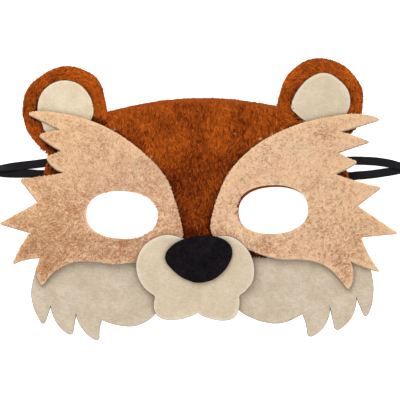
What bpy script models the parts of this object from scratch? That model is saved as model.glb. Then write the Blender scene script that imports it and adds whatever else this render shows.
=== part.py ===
"""An animal half mask for a child: plush and felt pieces sewn in layers, with an elastic strap.

It lies on its back on the floor, gently bowed. Metres, +Z out of the mask's front, +Y towards its
ears, +X to the right of someone who looks at the front. The origin is on the floor, under the
middle of the mask.
"""

import math
from typing import NamedTuple

import bmesh
import bpy
import numpy as np
from mathutils import Vector
from mathutils.geometry import delaunay_2d_cdt

MM = 0.001

# Eye holes, cut through the cheeks and through the head panel behind them
EYE_SPACING = 85.5 * MM
EYE_WIDTH = 41.0 * MM
EYE_HEIGHT = 27.4 * MM
EYE_SQUARENESS = 2.25
BACKING_EYE_MARGIN = 0.4 * MM

# Cheeks, measured from the middle of their eye hole
CHEEK_REACH = 71.25 * MM
CHEEK_RISE = 57.0 * MM

# Head panel and its ears
HEAD_HALF_WIDTH = 85.5 * MM
HEAD_HALF_HEIGHT = 57.0 * MM
EAR_RADIUS = 24.0 * MM
EAR_INNER_RADIUS = 16.0 * MM

# Muzzle and nose
MUZZLE_HALF_WIDTH = 33.5 * MM
MUZZLE_HALF_HEIGHT = 23.75 * MM
MUZZLE_DROP = 44.8 * MM
MUZZLE_OFF_MIDDLE = -1.5 * MM
NOSE_HALF_WIDTH = 19.0 * MM
NOSE_HALF_HEIGHT = 13.1 * MM
NOSE_RAISE = 11.4 * MM

# Jowls
JOWL_HALF_WIDTH = 38.0 * MM
JOWL_HALF_HEIGHT = 28.5 * MM
JOWL_SPACING = 118.6 * MM
JOWL_DROP = 52.2 * MM

# Walls of plush and felt, and the hair's breadth between layers
JOWL_WALL = 1.5 * MM
HEAD_WALL = 2.2 * MM
EAR_INNER_WALL = 1.5 * MM
CHEEK_WALL = 2.0 * MM
MUZZLE_WALL = 1.8 * MM
NOSE_WALL = 1.5 * MM
LAYER_GAP = 0.3 * MM

# The bow of the whole mask, which is flat on the floor outside this oval
BOW_HEIGHT = 9.0 * MM
BOW_HALF_ACROSS = 113.0 * MM
BOW_HALF_UP = 80.5 * MM
# How far past the edge of the layer beneath a layer stays raised, and then how far it takes to come down
SHELF = 7.5 * MM
COME_DOWN = 18.0 * MM

# Elastic
STRAP_WIDTH = 4.6 * MM
STRAP_THICKNESS = 0.9 * MM
STRAP_OFF_FLOOR = 0.05 * MM

# Rounding of cut points and corners, and the mesh
TIP_ROUND = 0.8 * MM
JOWL_TIP_ROUND = 1.6 * MM
EDGE_STEP = 3.2 * MM
FACET = 5.5 * MM
SPLINE_STEPS = 10
SHARP_EDGE = math.radians(40)
CORNER_TURN = math.radians(30)


class Eye(NamedTuple):
    """An eye hole. Lengths are shares of EYE_SPACING, EYE_WIDTH and EYE_HEIGHT."""

    across: float
    rise: float
    width: float
    height: float
    tilt_deg: float
    backing_across: float
    backing_rise: float


# across: share of EYE_SPACING. rise, backing_across, backing_rise: shares of EYE_HEIGHT.
EYES = {
    -1: Eye(-0.509, -0.322, 1.00, 0.985, -2.5, 0.0, 0.0),
    +1: Eye(0.490, -0.209, 0.99, 1.01, 2.0, 0.045, -0.045),
}


class Point(NamedTuple):
    """A fur point. `out` is away from the nose, `up` is towards the ears, both as shares.

    The near edge runs to the tip, the far edge runs on from it. Each bow is the height of that
    edge's arc as a share of its length, and swells outward where it is positive.
    """

    tip_out: float
    tip_up: float
    root_out: float
    root_up: float
    near_bow: float
    far_bow: float


# Shares of CHEEK_REACH and CHEEK_RISE, from the middle of the eye hole, top to bottom
LEFT_CHEEK_POINTS = (
    Point(0.755, 1.013, 0.487, 0.850, 0.00, 0.00),
    Point(0.669, 0.799, 0.484, 0.639, 0.03, 0.03),
    Point(0.606, 0.579, 0.458, 0.423, 0.00, 0.13),
    Point(0.820, 0.360, 0.673, 0.128, -0.02, 0.00),
    Point(0.986, -0.086, 0.734, -0.175, 0.00, 0.00),
    Point(0.879, -0.493, 0.653, -0.424, 0.05, -0.06),
    Point(0.648, -0.711, 0.570, -0.583, 0.15, 0.03),
)
RIGHT_CHEEK_POINTS = (
    Point(0.864, 0.901, 0.537, 0.777, 0.00, 0.00),
    Point(0.783, 0.680, 0.524, 0.573, 0.02, 0.00),
    Point(0.684, 0.482, 0.497, 0.357, -0.05, 0.04),
    Point(0.877, 0.226, 0.677, 0.039, -0.03, 0.00),
    Point(1.010, -0.237, 0.711, -0.270, 0.00, 0.00),
    Point(0.865, -0.621, 0.621, -0.514, -0.05, 0.03),
    Point(0.609, -0.804, 0.545, -0.695, 0.16, 0.02),
)


class Knot(NamedTuple):
    """A place that an edge runs through. `out` is away from the nose, `up` towards the ears."""

    out: float
    up: float


# From the root of the lowest fur point along the bottom, under the muzzle and up beside the nose
LEFT_CHEEK_EDGE = (
    Knot(0.468, -0.500),
    Knot(0.356, -0.458),
    Knot(0.203, -0.462),
    Knot(0.066, -0.487),
    Knot(-0.083, -0.468),
    Knot(-0.302, -0.450),
    Knot(-0.446, -0.370),
    Knot(-0.488, -0.213),
    Knot(-0.460, -0.035),
    Knot(-0.419, 0.148),
    Knot(-0.358, 0.350),
    Knot(-0.226, 0.551),
    Knot(-0.042, 0.747),
    Knot(0.162, 0.895),
    Knot(0.366, 0.985),
    Knot(0.540, 1.023),
    Knot(0.680, 1.036),
)
RIGHT_CHEEK_EDGE = (
    Knot(0.422, -0.554),
    Knot(0.259, -0.497),
    Knot(0.066, -0.494),
    Knot(-0.088, -0.446),
    Knot(-0.200, -0.388),
    Knot(-0.354, -0.366),
    Knot(-0.466, -0.290),
    Knot(-0.498, -0.178),
    Knot(-0.475, -0.038),
    Knot(-0.438, 0.124),
    Knot(-0.374, 0.308),
    Knot(-0.271, 0.487),
    Knot(-0.118, 0.653),
    Knot(0.034, 0.761),
    Knot(0.238, 0.863),
    Knot(0.443, 0.921),
    Knot(0.622, 0.955),
    Knot(0.790, 0.940),
)

class Jowl(NamedTuple):
    """Where a jowl's middle is, as shares of JOWL_SPACING and JOWL_DROP."""

    across: float
    drop: float


JOWLS = {-1: Jowl(-0.484, 1.011), +1: Jowl(0.516, 0.989)}

# Shares of JOWL_HALF_WIDTH and JOWL_HALF_HEIGHT, from the middle of the jowl
LEFT_JOWL_POINTS = (
    Point(0.822, -0.690, 0.714, -0.266, 0.03, 0.00),
    Point(0.392, -0.890, 0.336, -0.430, 0.135, 0.00),
    Point(-0.020, -1.006, -0.054, -0.560, 0.13, -0.07),
)
LEFT_JOWL_EDGE = (
    Knot(-0.210, -0.636),
    Knot(-0.425, -0.688),
    Knot(-0.600, -0.662),
    Knot(-0.807, -0.502),
    Knot(-0.975, -0.160),
    Knot(-1.005, 0.240),
    Knot(-0.780, 0.600),
    Knot(-0.330, 0.840),
    Knot(0.195, 0.900),
    Knot(0.645, 0.760),
    Knot(0.870, 0.600),
    Knot(0.944, 0.378),
    Knot(1.005, -0.004),
)
LEFT_JOWL_START = Knot(0.975, -0.286)
RIGHT_JOWL_POINTS = (
    Point(0.895, -0.580, 0.760, -0.135, 0.04, 0.00),
    Point(0.446, -0.836, 0.358, -0.288, 0.155, 0.00),
    Point(0.030, -0.972, -0.050, -0.480, 0.18, -0.06),
)
RIGHT_JOWL_EDGE = (
    Knot(-0.174, -0.568),
    Knot(-0.308, -0.644),
    Knot(-0.461, -0.672),
    Knot(-0.615, -0.644),
    Knot(-0.768, -0.580),
    Knot(-0.998, -0.402),
    Knot(-1.060, -0.080),
    Knot(-0.960, 0.320),
    Knot(-0.700, 0.780),
    Knot(-0.090, 0.880),
    Knot(0.585, 0.760),
    Knot(0.880, 0.620),
    Knot(0.965, 0.414),
    Knot(1.014, 0.060),
)
RIGHT_JOWL_START = Knot(0.993, -0.274)

# Shares of HEAD_HALF_WIDTH and HEAD_HALF_HEIGHT, from the middle of the mask. Here `out` is right.
CROWN = (Knot(0.275, 0.993), Knot(0.000, 1.013), Knot(-0.310, 0.975))
HEAD_LEFT_SIDE = (
    Knot(-1.006, 0.444),
    Knot(-1.006, 0.384),
    Knot(-1.035, 0.254),
    Knot(-1.055, 0.050),
    Knot(-1.045, -0.157),
    Knot(-0.991, -0.407),
    Knot(-0.825, -0.545),
    Knot(-0.591, -0.565),
    Knot(-0.338, -0.610),
    Knot(-0.258, -0.830),
    Knot(0.000, -0.997),
)
HEAD_RIGHT_SIDE = (
    Knot(0.222, -0.830),
    Knot(0.309, -0.596),
    Knot(0.395, -0.564),
    Knot(0.515, -0.573),
    Knot(0.620, -0.560),
    Knot(0.795, -0.507),
    Knot(0.975, -0.327),
    Knot(1.009, -0.057),
    Knot(1.002, 0.224),
    Knot(0.969, 0.314),
    Knot(0.932, 0.424),
    Knot(0.938, 0.524),
    Knot(0.970, 0.604),
)


class Spoke(NamedTuple):
    """A place on a rounded outline: its direction, and its distance as a share of the radius."""

    angle_deg: float
    reach: float


class Ear(NamedTuple):
    """Where an ear's middle is (shares of the head's half sizes), and its inner's (of EAR_RADIUS)."""

    across: float
    up: float
    inner_across: float
    inner_up: float


EARS = {-1: Ear(-0.898, 0.914, 0.024, -0.048), +1: Ear(0.814, 0.999, 0.017, -0.059)}
LEFT_EAR = (
    Spoke(-5, 1.026),
    Spoke(8, 0.990),
    Spoke(33, 1.040),
    Spoke(52, 1.043),
    Spoke(80, 1.010),
    Spoke(109, 0.965),
    Spoke(150, 0.988),
    Spoke(184, 0.993),
    Spoke(213, 1.030),
    Spoke(240, 1.098),
    Spoke(250, 1.114),
)
RIGHT_EAR = (
    Spoke(-50, 1.074),
    Spoke(-34, 1.071),
    Spoke(-19, 1.033),
    Spoke(7, 1.017),
    Spoke(23, 1.010),
    Spoke(53, 0.981),
    Spoke(84, 0.983),
    Spoke(113, 0.988),
    Spoke(146, 0.976),
    Spoke(177, 0.995),
    Spoke(189, 1.036),
)
LEFT_EAR_INNER = (
    Spoke(-21, 0.980),
    Spoke(-3, 1.012),
    Spoke(19, 1.000),
    Spoke(41, 1.004),
    Spoke(64, 1.040),
    Spoke(87, 1.050),
    Spoke(106, 1.052),
    Spoke(127, 1.040),
    Spoke(149, 1.022),
    Spoke(170, 0.985),
    Spoke(186, 0.966),
    Spoke(210, 0.940),
    Spoke(228, 1.040),
    Spoke(260, 1.010),
    Spoke(304, 0.950),
)
RIGHT_EAR_INNER = (
    Spoke(0, 1.026),
    Spoke(29, 1.026),
    Spoke(67, 1.030),
    Spoke(88, 1.030),
    Spoke(104, 0.985),
    Spoke(126, 0.932),
    Spoke(146, 0.918),
    Spoke(163, 0.965),
    Spoke(180, 1.040),
    Spoke(193, 1.110),
    Spoke(207, 0.966),
    Spoke(225, 0.900),
    Spoke(270, 0.926),
    Spoke(313, 0.970),
    Spoke(335, 0.987),
)

# Shares of the muzzle's half sizes, from its middle. Each row of runs is one rounded lobe.
MUZZLE_LOBES = (
    (
        Knot(0.031, -0.833),
        Knot(0.146, -0.924),
        Knot(0.422, -1.015),
        Knot(0.643, -0.950),
        Knot(0.730, -0.689),
        Knot(0.735, -0.420),
    ),
    (
        Knot(0.735, -0.420),
        Knot(0.823, -0.320),
        Knot(0.965, -0.045),
        Knot(0.970, 0.345),
        Knot(0.852, 0.712),
        Knot(0.626, 0.970),
        Knot(0.349, 0.989),
        Knot(0.034, 0.768),
    ),
    (
        Knot(0.034, 0.768),
        Knot(-0.333, 1.001),
        Knot(-0.592, 1.015),
        Knot(-0.869, 0.794),
        Knot(-1.001, 0.430),
        Knot(-0.988, 0.065),
        Knot(-0.869, -0.235),
        Knot(-0.699, -0.430),
    ),
    (
        Knot(-0.699, -0.430),
        Knot(-0.711, -0.742),
        Knot(-0.592, -0.962),
        Knot(-0.333, -0.996),
        Knot(-0.094, -0.912),
        Knot(0.031, -0.833),
    ),
)
# Shares of the nose's half sizes, from its middle, round once
NOSE_KNOTS = (
    Knot(0.051, -1.044),
    Knot(0.474, -0.870),
    Knot(0.831, -0.374),
    Knot(0.990, 0.239),
    Knot(0.849, 0.687),
    Knot(0.441, 0.935),
    Knot(-0.111, 0.922),
    Knot(-0.630, 0.687),
    Knot(-0.957, 0.239),
    Knot(-0.957, -0.161),
    Knot(-0.600, -0.705),
    Knot(-0.255, -0.970),
)


class Stop(NamedTuple):
    """A place on the elastic's route, in millimetres, chosen by hand.

    held: 0 where it lies on the floor, 1 where it is sewn to the back of the head panel.
    turn_deg: 0 and 180 where the band lies flat, 90 where it stands on its edge.
    """

    across: float
    up: float
    held: float
    turn_deg: float


STRAP_ROUTE = (
    Stop(-77.5, 21.4, 1.00, 0),
    Stop(-82.0, 21.2, 0.93, 0),
    Stop(-87.0, 20.6, 0.50, 0),
    Stop(-96.2, 19.7, 0.00, 0),
    Stop(-107.6, 18.6, 0.00, 33),
    Stop(-113.3, 17.9, 0.00, 52),
    Stop(-118.6, 17.9, 0.00, 75),
    Stop(-122.6, 17.7, 0.00, 88),
    Stop(-124.4, 16.0, 0.00, 90),
    Stop(-122.4, 14.4, 0.00, 92),
    Stop(-118.4, 14.2, 0.00, 105),
    Stop(-113.3, 14.5, 0.00, 128),
    Stop(-106.4, 14.5, 0.00, 152),
    Stop(-96.2, 14.5, 0.00, 180),
    Stop(-87.6, 14.6, 0.00, 180),
    Stop(-56.3, 15.4, 0.00, 180),
    Stop(0.0, 15.3, 0.00, 180),
    Stop(57.7, 14.2, 0.00, 180),
    Stop(83.4, 13.2, 0.00, 180),
    Stop(90.8, 13.6, 0.00, 180),
    Stop(98.8, 14.2, 0.00, 175),
    Stop(108.5, 15.5, 0.00, 150),
    Stop(114.7, 16.2, 0.00, 130),
    Stop(119.9, 16.4, 0.00, 105),
    Stop(123.6, 16.6, 0.00, 92),
    Stop(125.2, 18.0, 0.00, 90),
    Stop(123.6, 19.5, 0.00, 88),
    Stop(119.9, 19.7, 0.00, 70),
    Stop(114.7, 19.8, 0.00, 45),
    Stop(108.5, 20.6, 0.00, 28),
    Stop(98.8, 21.6, 0.00, 0),
    Stop(90.8, 22.1, 0.20, 0),
    Stop(84.5, 21.9, 0.75, 0),
    Stop(79.5, 21.7, 0.96, 0),
    Stop(75.5, 21.6, 1.00, 0),
)


class Layer(NamedTuple):
    """A flat piece: its name, its place in the stack, its wall, its outline, holes and colour."""

    name: str
    stage: int
    wall: float
    outline: np.ndarray
    holes: tuple
    srgb: tuple
    roughness: float


def smooth_run(knots, closed=False):
    """A Catmull-Rom curve through the knots, as an array of points."""
    knots = np.asarray(knots, float)
    if closed:
        ends = np.vstack([knots[-1:], knots, knots[:2]])
    else:
        ends = np.vstack([2 * knots[:1] - knots[1:2], knots, 2 * knots[-1:] - knots[-2:-1]])
    points = []
    for a, b, c, d in zip(ends, ends[1:], ends[2:], ends[3:]):
        for share in np.arange(SPLINE_STEPS) / SPLINE_STEPS:
            points.append(
                b
                + 0.5 * share * (c - a)
                + share**2 * (a - 2.5 * b + 2 * c - 0.5 * d)
                + share**3 * (1.5 * b - 0.5 * a - 1.5 * c + 0.5 * d)
            )
    if not closed:
        points.append(knots[-1])
    return np.array(points)


def arc_run(start, end, bow):
    """An arc from start to end, whose middle swells to the right of the way by bow of its length."""
    start, end = np.asarray(start, float), np.asarray(end, float)
    way = end - start
    aside = np.array([way[1], -way[0]])
    share = np.linspace(0.0, 1.0, SPLINE_STEPS + 1)[:, None]
    return start + share * way + 4 * share * (1 - share) * bow * aside


def evenly(run):
    """The run with points about EDGE_STEP apart, both ends kept."""
    steps = np.linalg.norm(np.diff(run, axis=0), axis=1)
    along = np.concatenate([[0.0], np.cumsum(steps)])
    count = max(1, round(along[-1] / EDGE_STEP))
    places = np.linspace(0.0, along[-1], count + 1)
    return np.column_stack([np.interp(places, along, run[:, axis]) for axis in (0, 1)])


def turned_by(before, corner, after):
    """The angle by which the way turns at the corner."""
    one, two = corner - before, after - corner
    cosine = one @ two / (np.linalg.norm(one) * np.linalg.norm(two))
    return math.acos(max(-1.0, min(1.0, cosine)))


def closed_outline(runs, tip_round=TIP_ROUND):
    """The runs joined into one counterclockwise loop. Tips are rounded, and notches stay sharp."""
    loop = np.vstack([evenly(run)[:-1] for run in runs])
    x, y = loop[:, 0], loop[:, 1]
    if np.sum(x * np.roll(y, -1) - y * np.roll(x, -1)) < 0:
        loop = loop[::-1]
    rounded = []
    for index, corner in enumerate(loop):
        before, after = loop[index - 1], loop[(index + 1) % len(loop)]
        one, two = corner - before, after - corner
        is_notch = one[0] * two[1] - one[1] * two[0] < 0
        if is_notch or turned_by(before, corner, after) < CORNER_TURN:
            rounded.append(corner)
            continue
        sides = []
        for neighbour in (before, after):
            way = neighbour - corner
            length = np.linalg.norm(way)
            sides.append(corner + way / length * min(tip_round, 0.45 * length))
        rounded += [sides[0], (sides[0] + 2 * corner + sides[1]) / 4, sides[1]]
    return np.array(rounded)


def placed(knots, side, centre, sizes):
    """Knots as places in the plane: `out` goes to the given side, +1 right and -1 left."""
    return [
        np.array([centre[0] + side * knot[0] * sizes[0], centre[1] + knot[1] * sizes[1]])
        for knot in knots
    ]


def furred_outline(points, edge, side, centre, sizes, start=None, tip_round=TIP_ROUND):
    """An outline of fur points down its outer side, closed by a smooth edge back to the first."""
    tips = placed([(p.tip_out, p.tip_up) for p in points], side, centre, sizes)
    roots = placed([(p.root_out, p.root_up) for p in points], side, centre, sizes)
    knots = placed(edge, side, centre, sizes)
    runs = []
    for index, point in enumerate(points):
        if index:
            runs.append(arc_run(roots[index - 1], tips[index], -side * point.near_bow))
        runs.append(arc_run(tips[index], roots[index], -side * point.far_bow))
    if start is None:
        runs.append(smooth_run([roots[-1], *knots, tips[0]]))
    else:
        begin = placed([start], side, centre, sizes)[0]
        runs.append(smooth_run([roots[-1], *knots, begin]))
        runs.append(arc_run(begin, tips[0], -side * points[0].near_bow))
    return closed_outline(runs, tip_round)


def eye_middle(side):
    eye = EYES[side]
    return np.array([eye.across * EYE_SPACING, eye.rise * EYE_HEIGHT])


def eye_hole(side, margin=0.0, shifted=False):
    """The oval of an eye hole, clockwise, wider all round by the margin."""
    eye = EYES[side]
    half_width = eye.width * EYE_WIDTH / 2 + margin
    half_height = eye.height * EYE_HEIGHT / 2 + margin
    count = round(math.pi * (half_width + half_height) / EDGE_STEP)
    angle = -2 * math.pi * np.arange(count) / count
    x = half_width * np.sign(np.cos(angle)) * np.abs(np.cos(angle)) ** (2 / EYE_SQUARENESS)
    y = half_height * np.sign(np.sin(angle)) * np.abs(np.sin(angle)) ** (2 / EYE_SQUARENESS)
    tilt = math.radians(eye.tilt_deg)
    middle = eye_middle(side)
    if shifted:
        middle = middle + np.array([eye.backing_across, eye.backing_rise]) * EYE_HEIGHT
    return np.column_stack(
        [
            middle[0] + x * math.cos(tilt) - y * math.sin(tilt),
            middle[1] + x * math.sin(tilt) + y * math.cos(tilt),
        ]
    )


def ear_middle(side):
    ear = EARS[side]
    return np.array([ear.across * HEAD_HALF_WIDTH, ear.up * HEAD_HALF_HEIGHT])


def spoke_places(spokes, centre, radius):
    return [
        centre
        + radius
        * spoke.reach
        * np.array([math.cos(math.radians(spoke.angle_deg)), math.sin(math.radians(spoke.angle_deg))])
        for spoke in spokes
    ]


def head_outline():
    """Both ears and the crown between them, the sides, and the edge hidden under the muzzle."""
    sizes = (HEAD_HALF_WIDTH, HEAD_HALF_HEIGHT)
    centre = (0.0, 0.0)
    right_ear = spoke_places(RIGHT_EAR, ear_middle(+1), EAR_RADIUS)
    left_ear = spoke_places(LEFT_EAR, ear_middle(-1), EAR_RADIUS)
    crown = placed(CROWN, +1, centre, sizes)
    around = placed(HEAD_LEFT_SIDE + HEAD_RIGHT_SIDE, +1, centre, sizes)
    return closed_outline(
        [
            smooth_run(right_ear),
            smooth_run([right_ear[-1], *crown, left_ear[0]]),
            smooth_run(left_ear),
            smooth_run([left_ear[-1], *around, right_ear[0]]),
        ]
    )


def ear_inner_outline(side):
    ear = EARS[side]
    centre = ear_middle(side) + np.array([ear.inner_across, ear.inner_up]) * EAR_RADIUS
    spokes = LEFT_EAR_INNER if side < 0 else RIGHT_EAR_INNER
    ring = smooth_run(spoke_places(spokes, centre, EAR_INNER_RADIUS), closed=True)
    return closed_outline([np.vstack([ring, ring[:1]])])


def cheek_outline(side):
    points, edge = (
        (LEFT_CHEEK_POINTS, LEFT_CHEEK_EDGE) if side < 0 else (RIGHT_CHEEK_POINTS, RIGHT_CHEEK_EDGE)
    )
    return furred_outline(points, edge, side, eye_middle(side), (CHEEK_REACH, CHEEK_RISE))


def jowl_outline(side):
    if side < 0:
        points, edge, start = LEFT_JOWL_POINTS, LEFT_JOWL_EDGE, LEFT_JOWL_START
    else:
        points, edge, start = RIGHT_JOWL_POINTS, RIGHT_JOWL_EDGE, RIGHT_JOWL_START
    middle = (JOWLS[side].across * JOWL_SPACING, -JOWLS[side].drop * JOWL_DROP)
    sizes = (JOWL_HALF_WIDTH, JOWL_HALF_HEIGHT)
    return furred_outline(points, edge, side, middle, sizes, start, JOWL_TIP_ROUND)


def muzzle_outline():
    middle = (MUZZLE_OFF_MIDDLE, -MUZZLE_DROP)
    sizes = (MUZZLE_HALF_WIDTH, MUZZLE_HALF_HEIGHT)
    return closed_outline([smooth_run(placed(lobe, +1, middle, sizes)) for lobe in MUZZLE_LOBES])


def nose_outline():
    middle = (0.0, NOSE_RAISE - MUZZLE_DROP)
    ring = smooth_run(placed(NOSE_KNOTS, +1, middle, (NOSE_HALF_WIDTH, NOSE_HALF_HEIGHT)), closed=True)
    return closed_outline([np.vstack([ring, ring[:1]])])


def stacked_layers():
    """Every flat piece, from the one nearest the face to the nose on top."""
    eyes = {side: (eye_hole(side),) for side in EYES}
    backing_eyes = tuple(eye_hole(side, BACKING_EYE_MARGIN, shifted=True) for side in EYES)
    felt, plush = 0.95, 0.9
    jowl, ear_inner, tan = (196, 181, 154), (214, 203, 178), (220, 178, 132)
    return (
        Layer("jowl_left", 0, JOWL_WALL, jowl_outline(-1), (), jowl, felt),
        Layer("jowl_right", 0, JOWL_WALL, jowl_outline(+1), (), jowl, felt),
        Layer("head_panel", 1, HEAD_WALL, head_outline(), backing_eyes, (148, 76, 28), plush),
        Layer("ear_inner_left", 2, EAR_INNER_WALL, ear_inner_outline(-1), (), ear_inner, felt),
        Layer("ear_inner_right", 2, EAR_INNER_WALL, ear_inner_outline(+1), (), ear_inner, felt),
        Layer("cheek_left", 3, CHEEK_WALL, cheek_outline(-1), eyes[-1], tan, plush),
        Layer("cheek_right", 3, CHEEK_WALL, cheek_outline(+1), eyes[+1], tan, plush),
        Layer("muzzle", 4, MUZZLE_WALL, muzzle_outline(), (), (221, 201, 172), felt),
        Layer("nose", 5, NOSE_WALL, nose_outline(), (), (22, 22, 29), felt),
    )


def inside(points, loop):
    """Which of the points lie inside the loop."""
    x, y = points[:, 0][:, None], points[:, 1][:, None]
    x0, y0 = loop[:, 0], loop[:, 1]
    x1, y1 = np.roll(x0, -1), np.roll(y0, -1)
    spans = (y0 <= y) != (y1 <= y)
    rise = np.where(y1 == y0, 1.0, y1 - y0)
    return (spans & (x < x0 + (y - y0) * (x1 - x0) / rise)).sum(axis=1) % 2 == 1


def to_edge(points, loop):
    """The distance from each point to the loop."""
    start, way = loop, np.roll(loop, -1, axis=0) - loop
    offset = points[:, None, :] - start
    share = np.clip((offset * way).sum(axis=2) / (way * way).sum(axis=1), 0.0, 1.0)
    return np.linalg.norm(offset - share[:, :, None] * way, axis=2).min(axis=1)


def bow(points):
    """The height of the mask's back above the floor, before the layers add theirs."""
    radial = (points[:, 0] / BOW_HALF_ACROSS) ** 2 + (points[:, 1] / BOW_HALF_UP) ** 2
    return BOW_HEIGHT * np.clip(1.0 - radial, 0.0, None)


def raised_by(points, layer):
    """How far a layer lies higher because this one is under it: all its wall, easing off past it."""
    away = np.where(inside(points, layer.outline), 0.0, to_edge(points, layer.outline))
    share = np.clip(1.0 - (away - SHELF) / COME_DOWN, 0.0, 1.0)
    return (layer.wall + LAYER_GAP) * share * share * (3 - 2 * share)


def underside(points, stage, layers):
    """The height of the underside of a layer of this stage: the bow, and every stage beneath."""
    height = bow(points)
    for lower in range(stage):
        height = height + np.max([raised_by(points, x) for x in layers if x.stage == lower], axis=0)
    return height


def sheet_of(layer):
    """Points and triangles that fill the layer's outline, its holes left open."""
    loops = [layer.outline, *layer.holes]
    low, high = layer.outline.min(axis=0), layer.outline.max(axis=0)
    row_step = FACET * math.sqrt(3) / 2
    filling = [
        (x + (row % 2) * FACET / 2, y)
        for row, y in enumerate(np.arange(low[1], high[1], row_step))
        for x in np.arange(low[0], high[0], FACET)
    ]
    filling = np.array(filling)
    keep = inside(filling, layer.outline)
    for hole in layer.holes:
        keep &= ~inside(filling, hole)
    for loop in loops:
        keep &= to_edge(filling, loop) > 0.55 * FACET
    edges = []
    first = 0
    for loop in loops:
        count = len(loop)
        edges += [(first + i, first + (i + 1) % count) for i in range(count)]
        first += count
    places = np.vstack([*loops, filling[keep]])
    made = delaunay_2d_cdt([Vector(place) for place in places], edges, [], 0, 1e-7)
    points = np.array([tuple(place) for place in made[0]])
    faces = np.array([tuple(face) for face in made[2]])
    middles = points[faces].mean(axis=1)
    filled = inside(middles, layer.outline)
    for hole in layer.holes:
        filled &= ~inside(middles, hole)
    return points, faces[filled]


def finish(name, srgb, roughness):
    """A plain material in the piece's own colour."""
    material = bpy.data.materials.new(name)
    material.use_nodes = True
    shader = material.node_tree.nodes["Principled BSDF"]
    linear = [(c / 255 / 12.92) if c < 11 else ((c / 255 + 0.055) / 1.055) ** 2.4 for c in srgb]
    shader.inputs["Base Color"].default_value = (*linear, 1.0)
    shader.inputs["Roughness"].default_value = roughness
    shader.inputs["Metallic"].default_value = 0.0
    material.diffuse_color = (*linear, 1.0)
    return material


def add_object(name, body, material):
    """One named object of the finished mesh, shaded smooth but for its cut edges."""
    bmesh.ops.recalc_face_normals(body, faces=body.faces)
    mesh = bpy.data.meshes.new(name)
    body.to_mesh(mesh)
    body.free()
    mesh.materials.append(material)
    mesh.shade_smooth()
    mesh.set_sharp_from_angle(angle=SHARP_EDGE)
    piece = bpy.data.objects.new(name, mesh)
    bpy.context.scene.collection.objects.link(piece)
    return piece


def add_layer(layer, layers):
    """A flat piece laid over those beneath: a sheet along its underside, extruded by its wall."""
    points, faces = sheet_of(layer)
    heights = underside(points, layer.stage, layers)
    body = bmesh.new()
    corners = [body.verts.new((*place, height)) for place, height in zip(points, heights)]
    sheet = [body.faces.new([corners[i] for i in face]) for face in faces]
    for corner in [vert for vert in body.verts if not vert.link_faces]:
        body.verts.remove(corner)
    extruded = bmesh.ops.extrude_face_region(body, geom=sheet)["geom"]
    tops = [item for item in extruded if isinstance(item, bmesh.types.BMVert)]
    bmesh.ops.translate(body, verts=tops, vec=(0.0, 0.0, layer.wall))
    return add_object(layer.name, body, finish(layer.name, layer.srgb, layer.roughness))


def strap_path(layers):
    """The elastic's centreline and the direction of its width at each place."""
    stops = np.array(STRAP_ROUTE, float)
    curve = smooth_run(stops)
    flat = curve[:, :2] * MM
    held = np.clip(curve[:, 2], 0.0, 1.0)
    turn = np.radians(curve[:, 3])
    on_floor = (
        STRAP_OFF_FLOOR
        + np.abs(np.cos(turn)) * STRAP_THICKNESS / 2
        + np.abs(np.sin(turn)) * STRAP_WIDTH / 2
    )
    sewn = underside(flat, 1, layers) - LAYER_GAP - STRAP_THICKNESS / 2
    height = on_floor + held * (sewn - on_floor)
    path = np.column_stack([flat, height])
    steps = np.linalg.norm(np.diff(path, axis=0), axis=1)
    along = np.concatenate([[0.0], np.cumsum(steps)])
    count = round(along[-1] / (STRAP_WIDTH))
    places = np.linspace(0.0, along[-1], count + 1)
    path = np.column_stack([np.interp(places, along, path[:, axis]) for axis in range(3)])
    turn = np.interp(places, along, turn)
    return path, turn


def add_strap(layers):
    """The elastic: a flat band swept along its route, sewn to the head panel at both ends."""
    path, turn = strap_path(layers)
    way = np.gradient(path, axis=0)
    way /= np.linalg.norm(way, axis=1)[:, None]
    level = np.cross((0.0, 0.0, 1.0), way)
    level /= np.linalg.norm(level, axis=1)[:, None]
    upward = np.cross(way, level)
    broad = np.cos(turn)[:, None] * level + np.sin(turn)[:, None] * upward
    thin = np.cross(way, broad)
    body = bmesh.new()
    rings = []
    for centre, across, through in zip(path, broad * STRAP_WIDTH / 2, thin * STRAP_THICKNESS / 2):
        signs = ((1, 1), (-1, 1), (-1, -1), (1, -1))
        rings.append([body.verts.new(centre + a * across + b * through) for a, b in signs])
    for one, two in zip(rings, rings[1:]):
        for i in range(4):
            body.faces.new((one[i], one[(i + 1) % 4], two[(i + 1) % 4], two[i]))
    body.faces.new(rings[0][::-1])
    body.faces.new(rings[-1])
    return add_object("elastic_strap", body, finish("elastic_strap", (33, 33, 42), 0.6))


def clear_scene():
    for item in list(bpy.data.objects):
        bpy.data.objects.remove(item, do_unlink=True)


def main():
    clear_scene()
    layers = stacked_layers()
    for layer in layers:
        add_layer(layer, layers)
    add_strap(layers)


main()
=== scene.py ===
"""The looks of an animal costume half mask: plush and felt layers with an elastic strap.

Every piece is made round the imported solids, in metres: +Z out of the mask's front, +Y towards its
ears, and the floor at zero.
"""

import logging
import math
from collections.abc import Callable
from dataclasses import dataclass, field
from enum import Enum

import bpy
import numpy as np
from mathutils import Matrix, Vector
from mathutils.bvhtree import BVHTree
from mathutils.geometry import delaunay_2d_cdt

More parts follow.
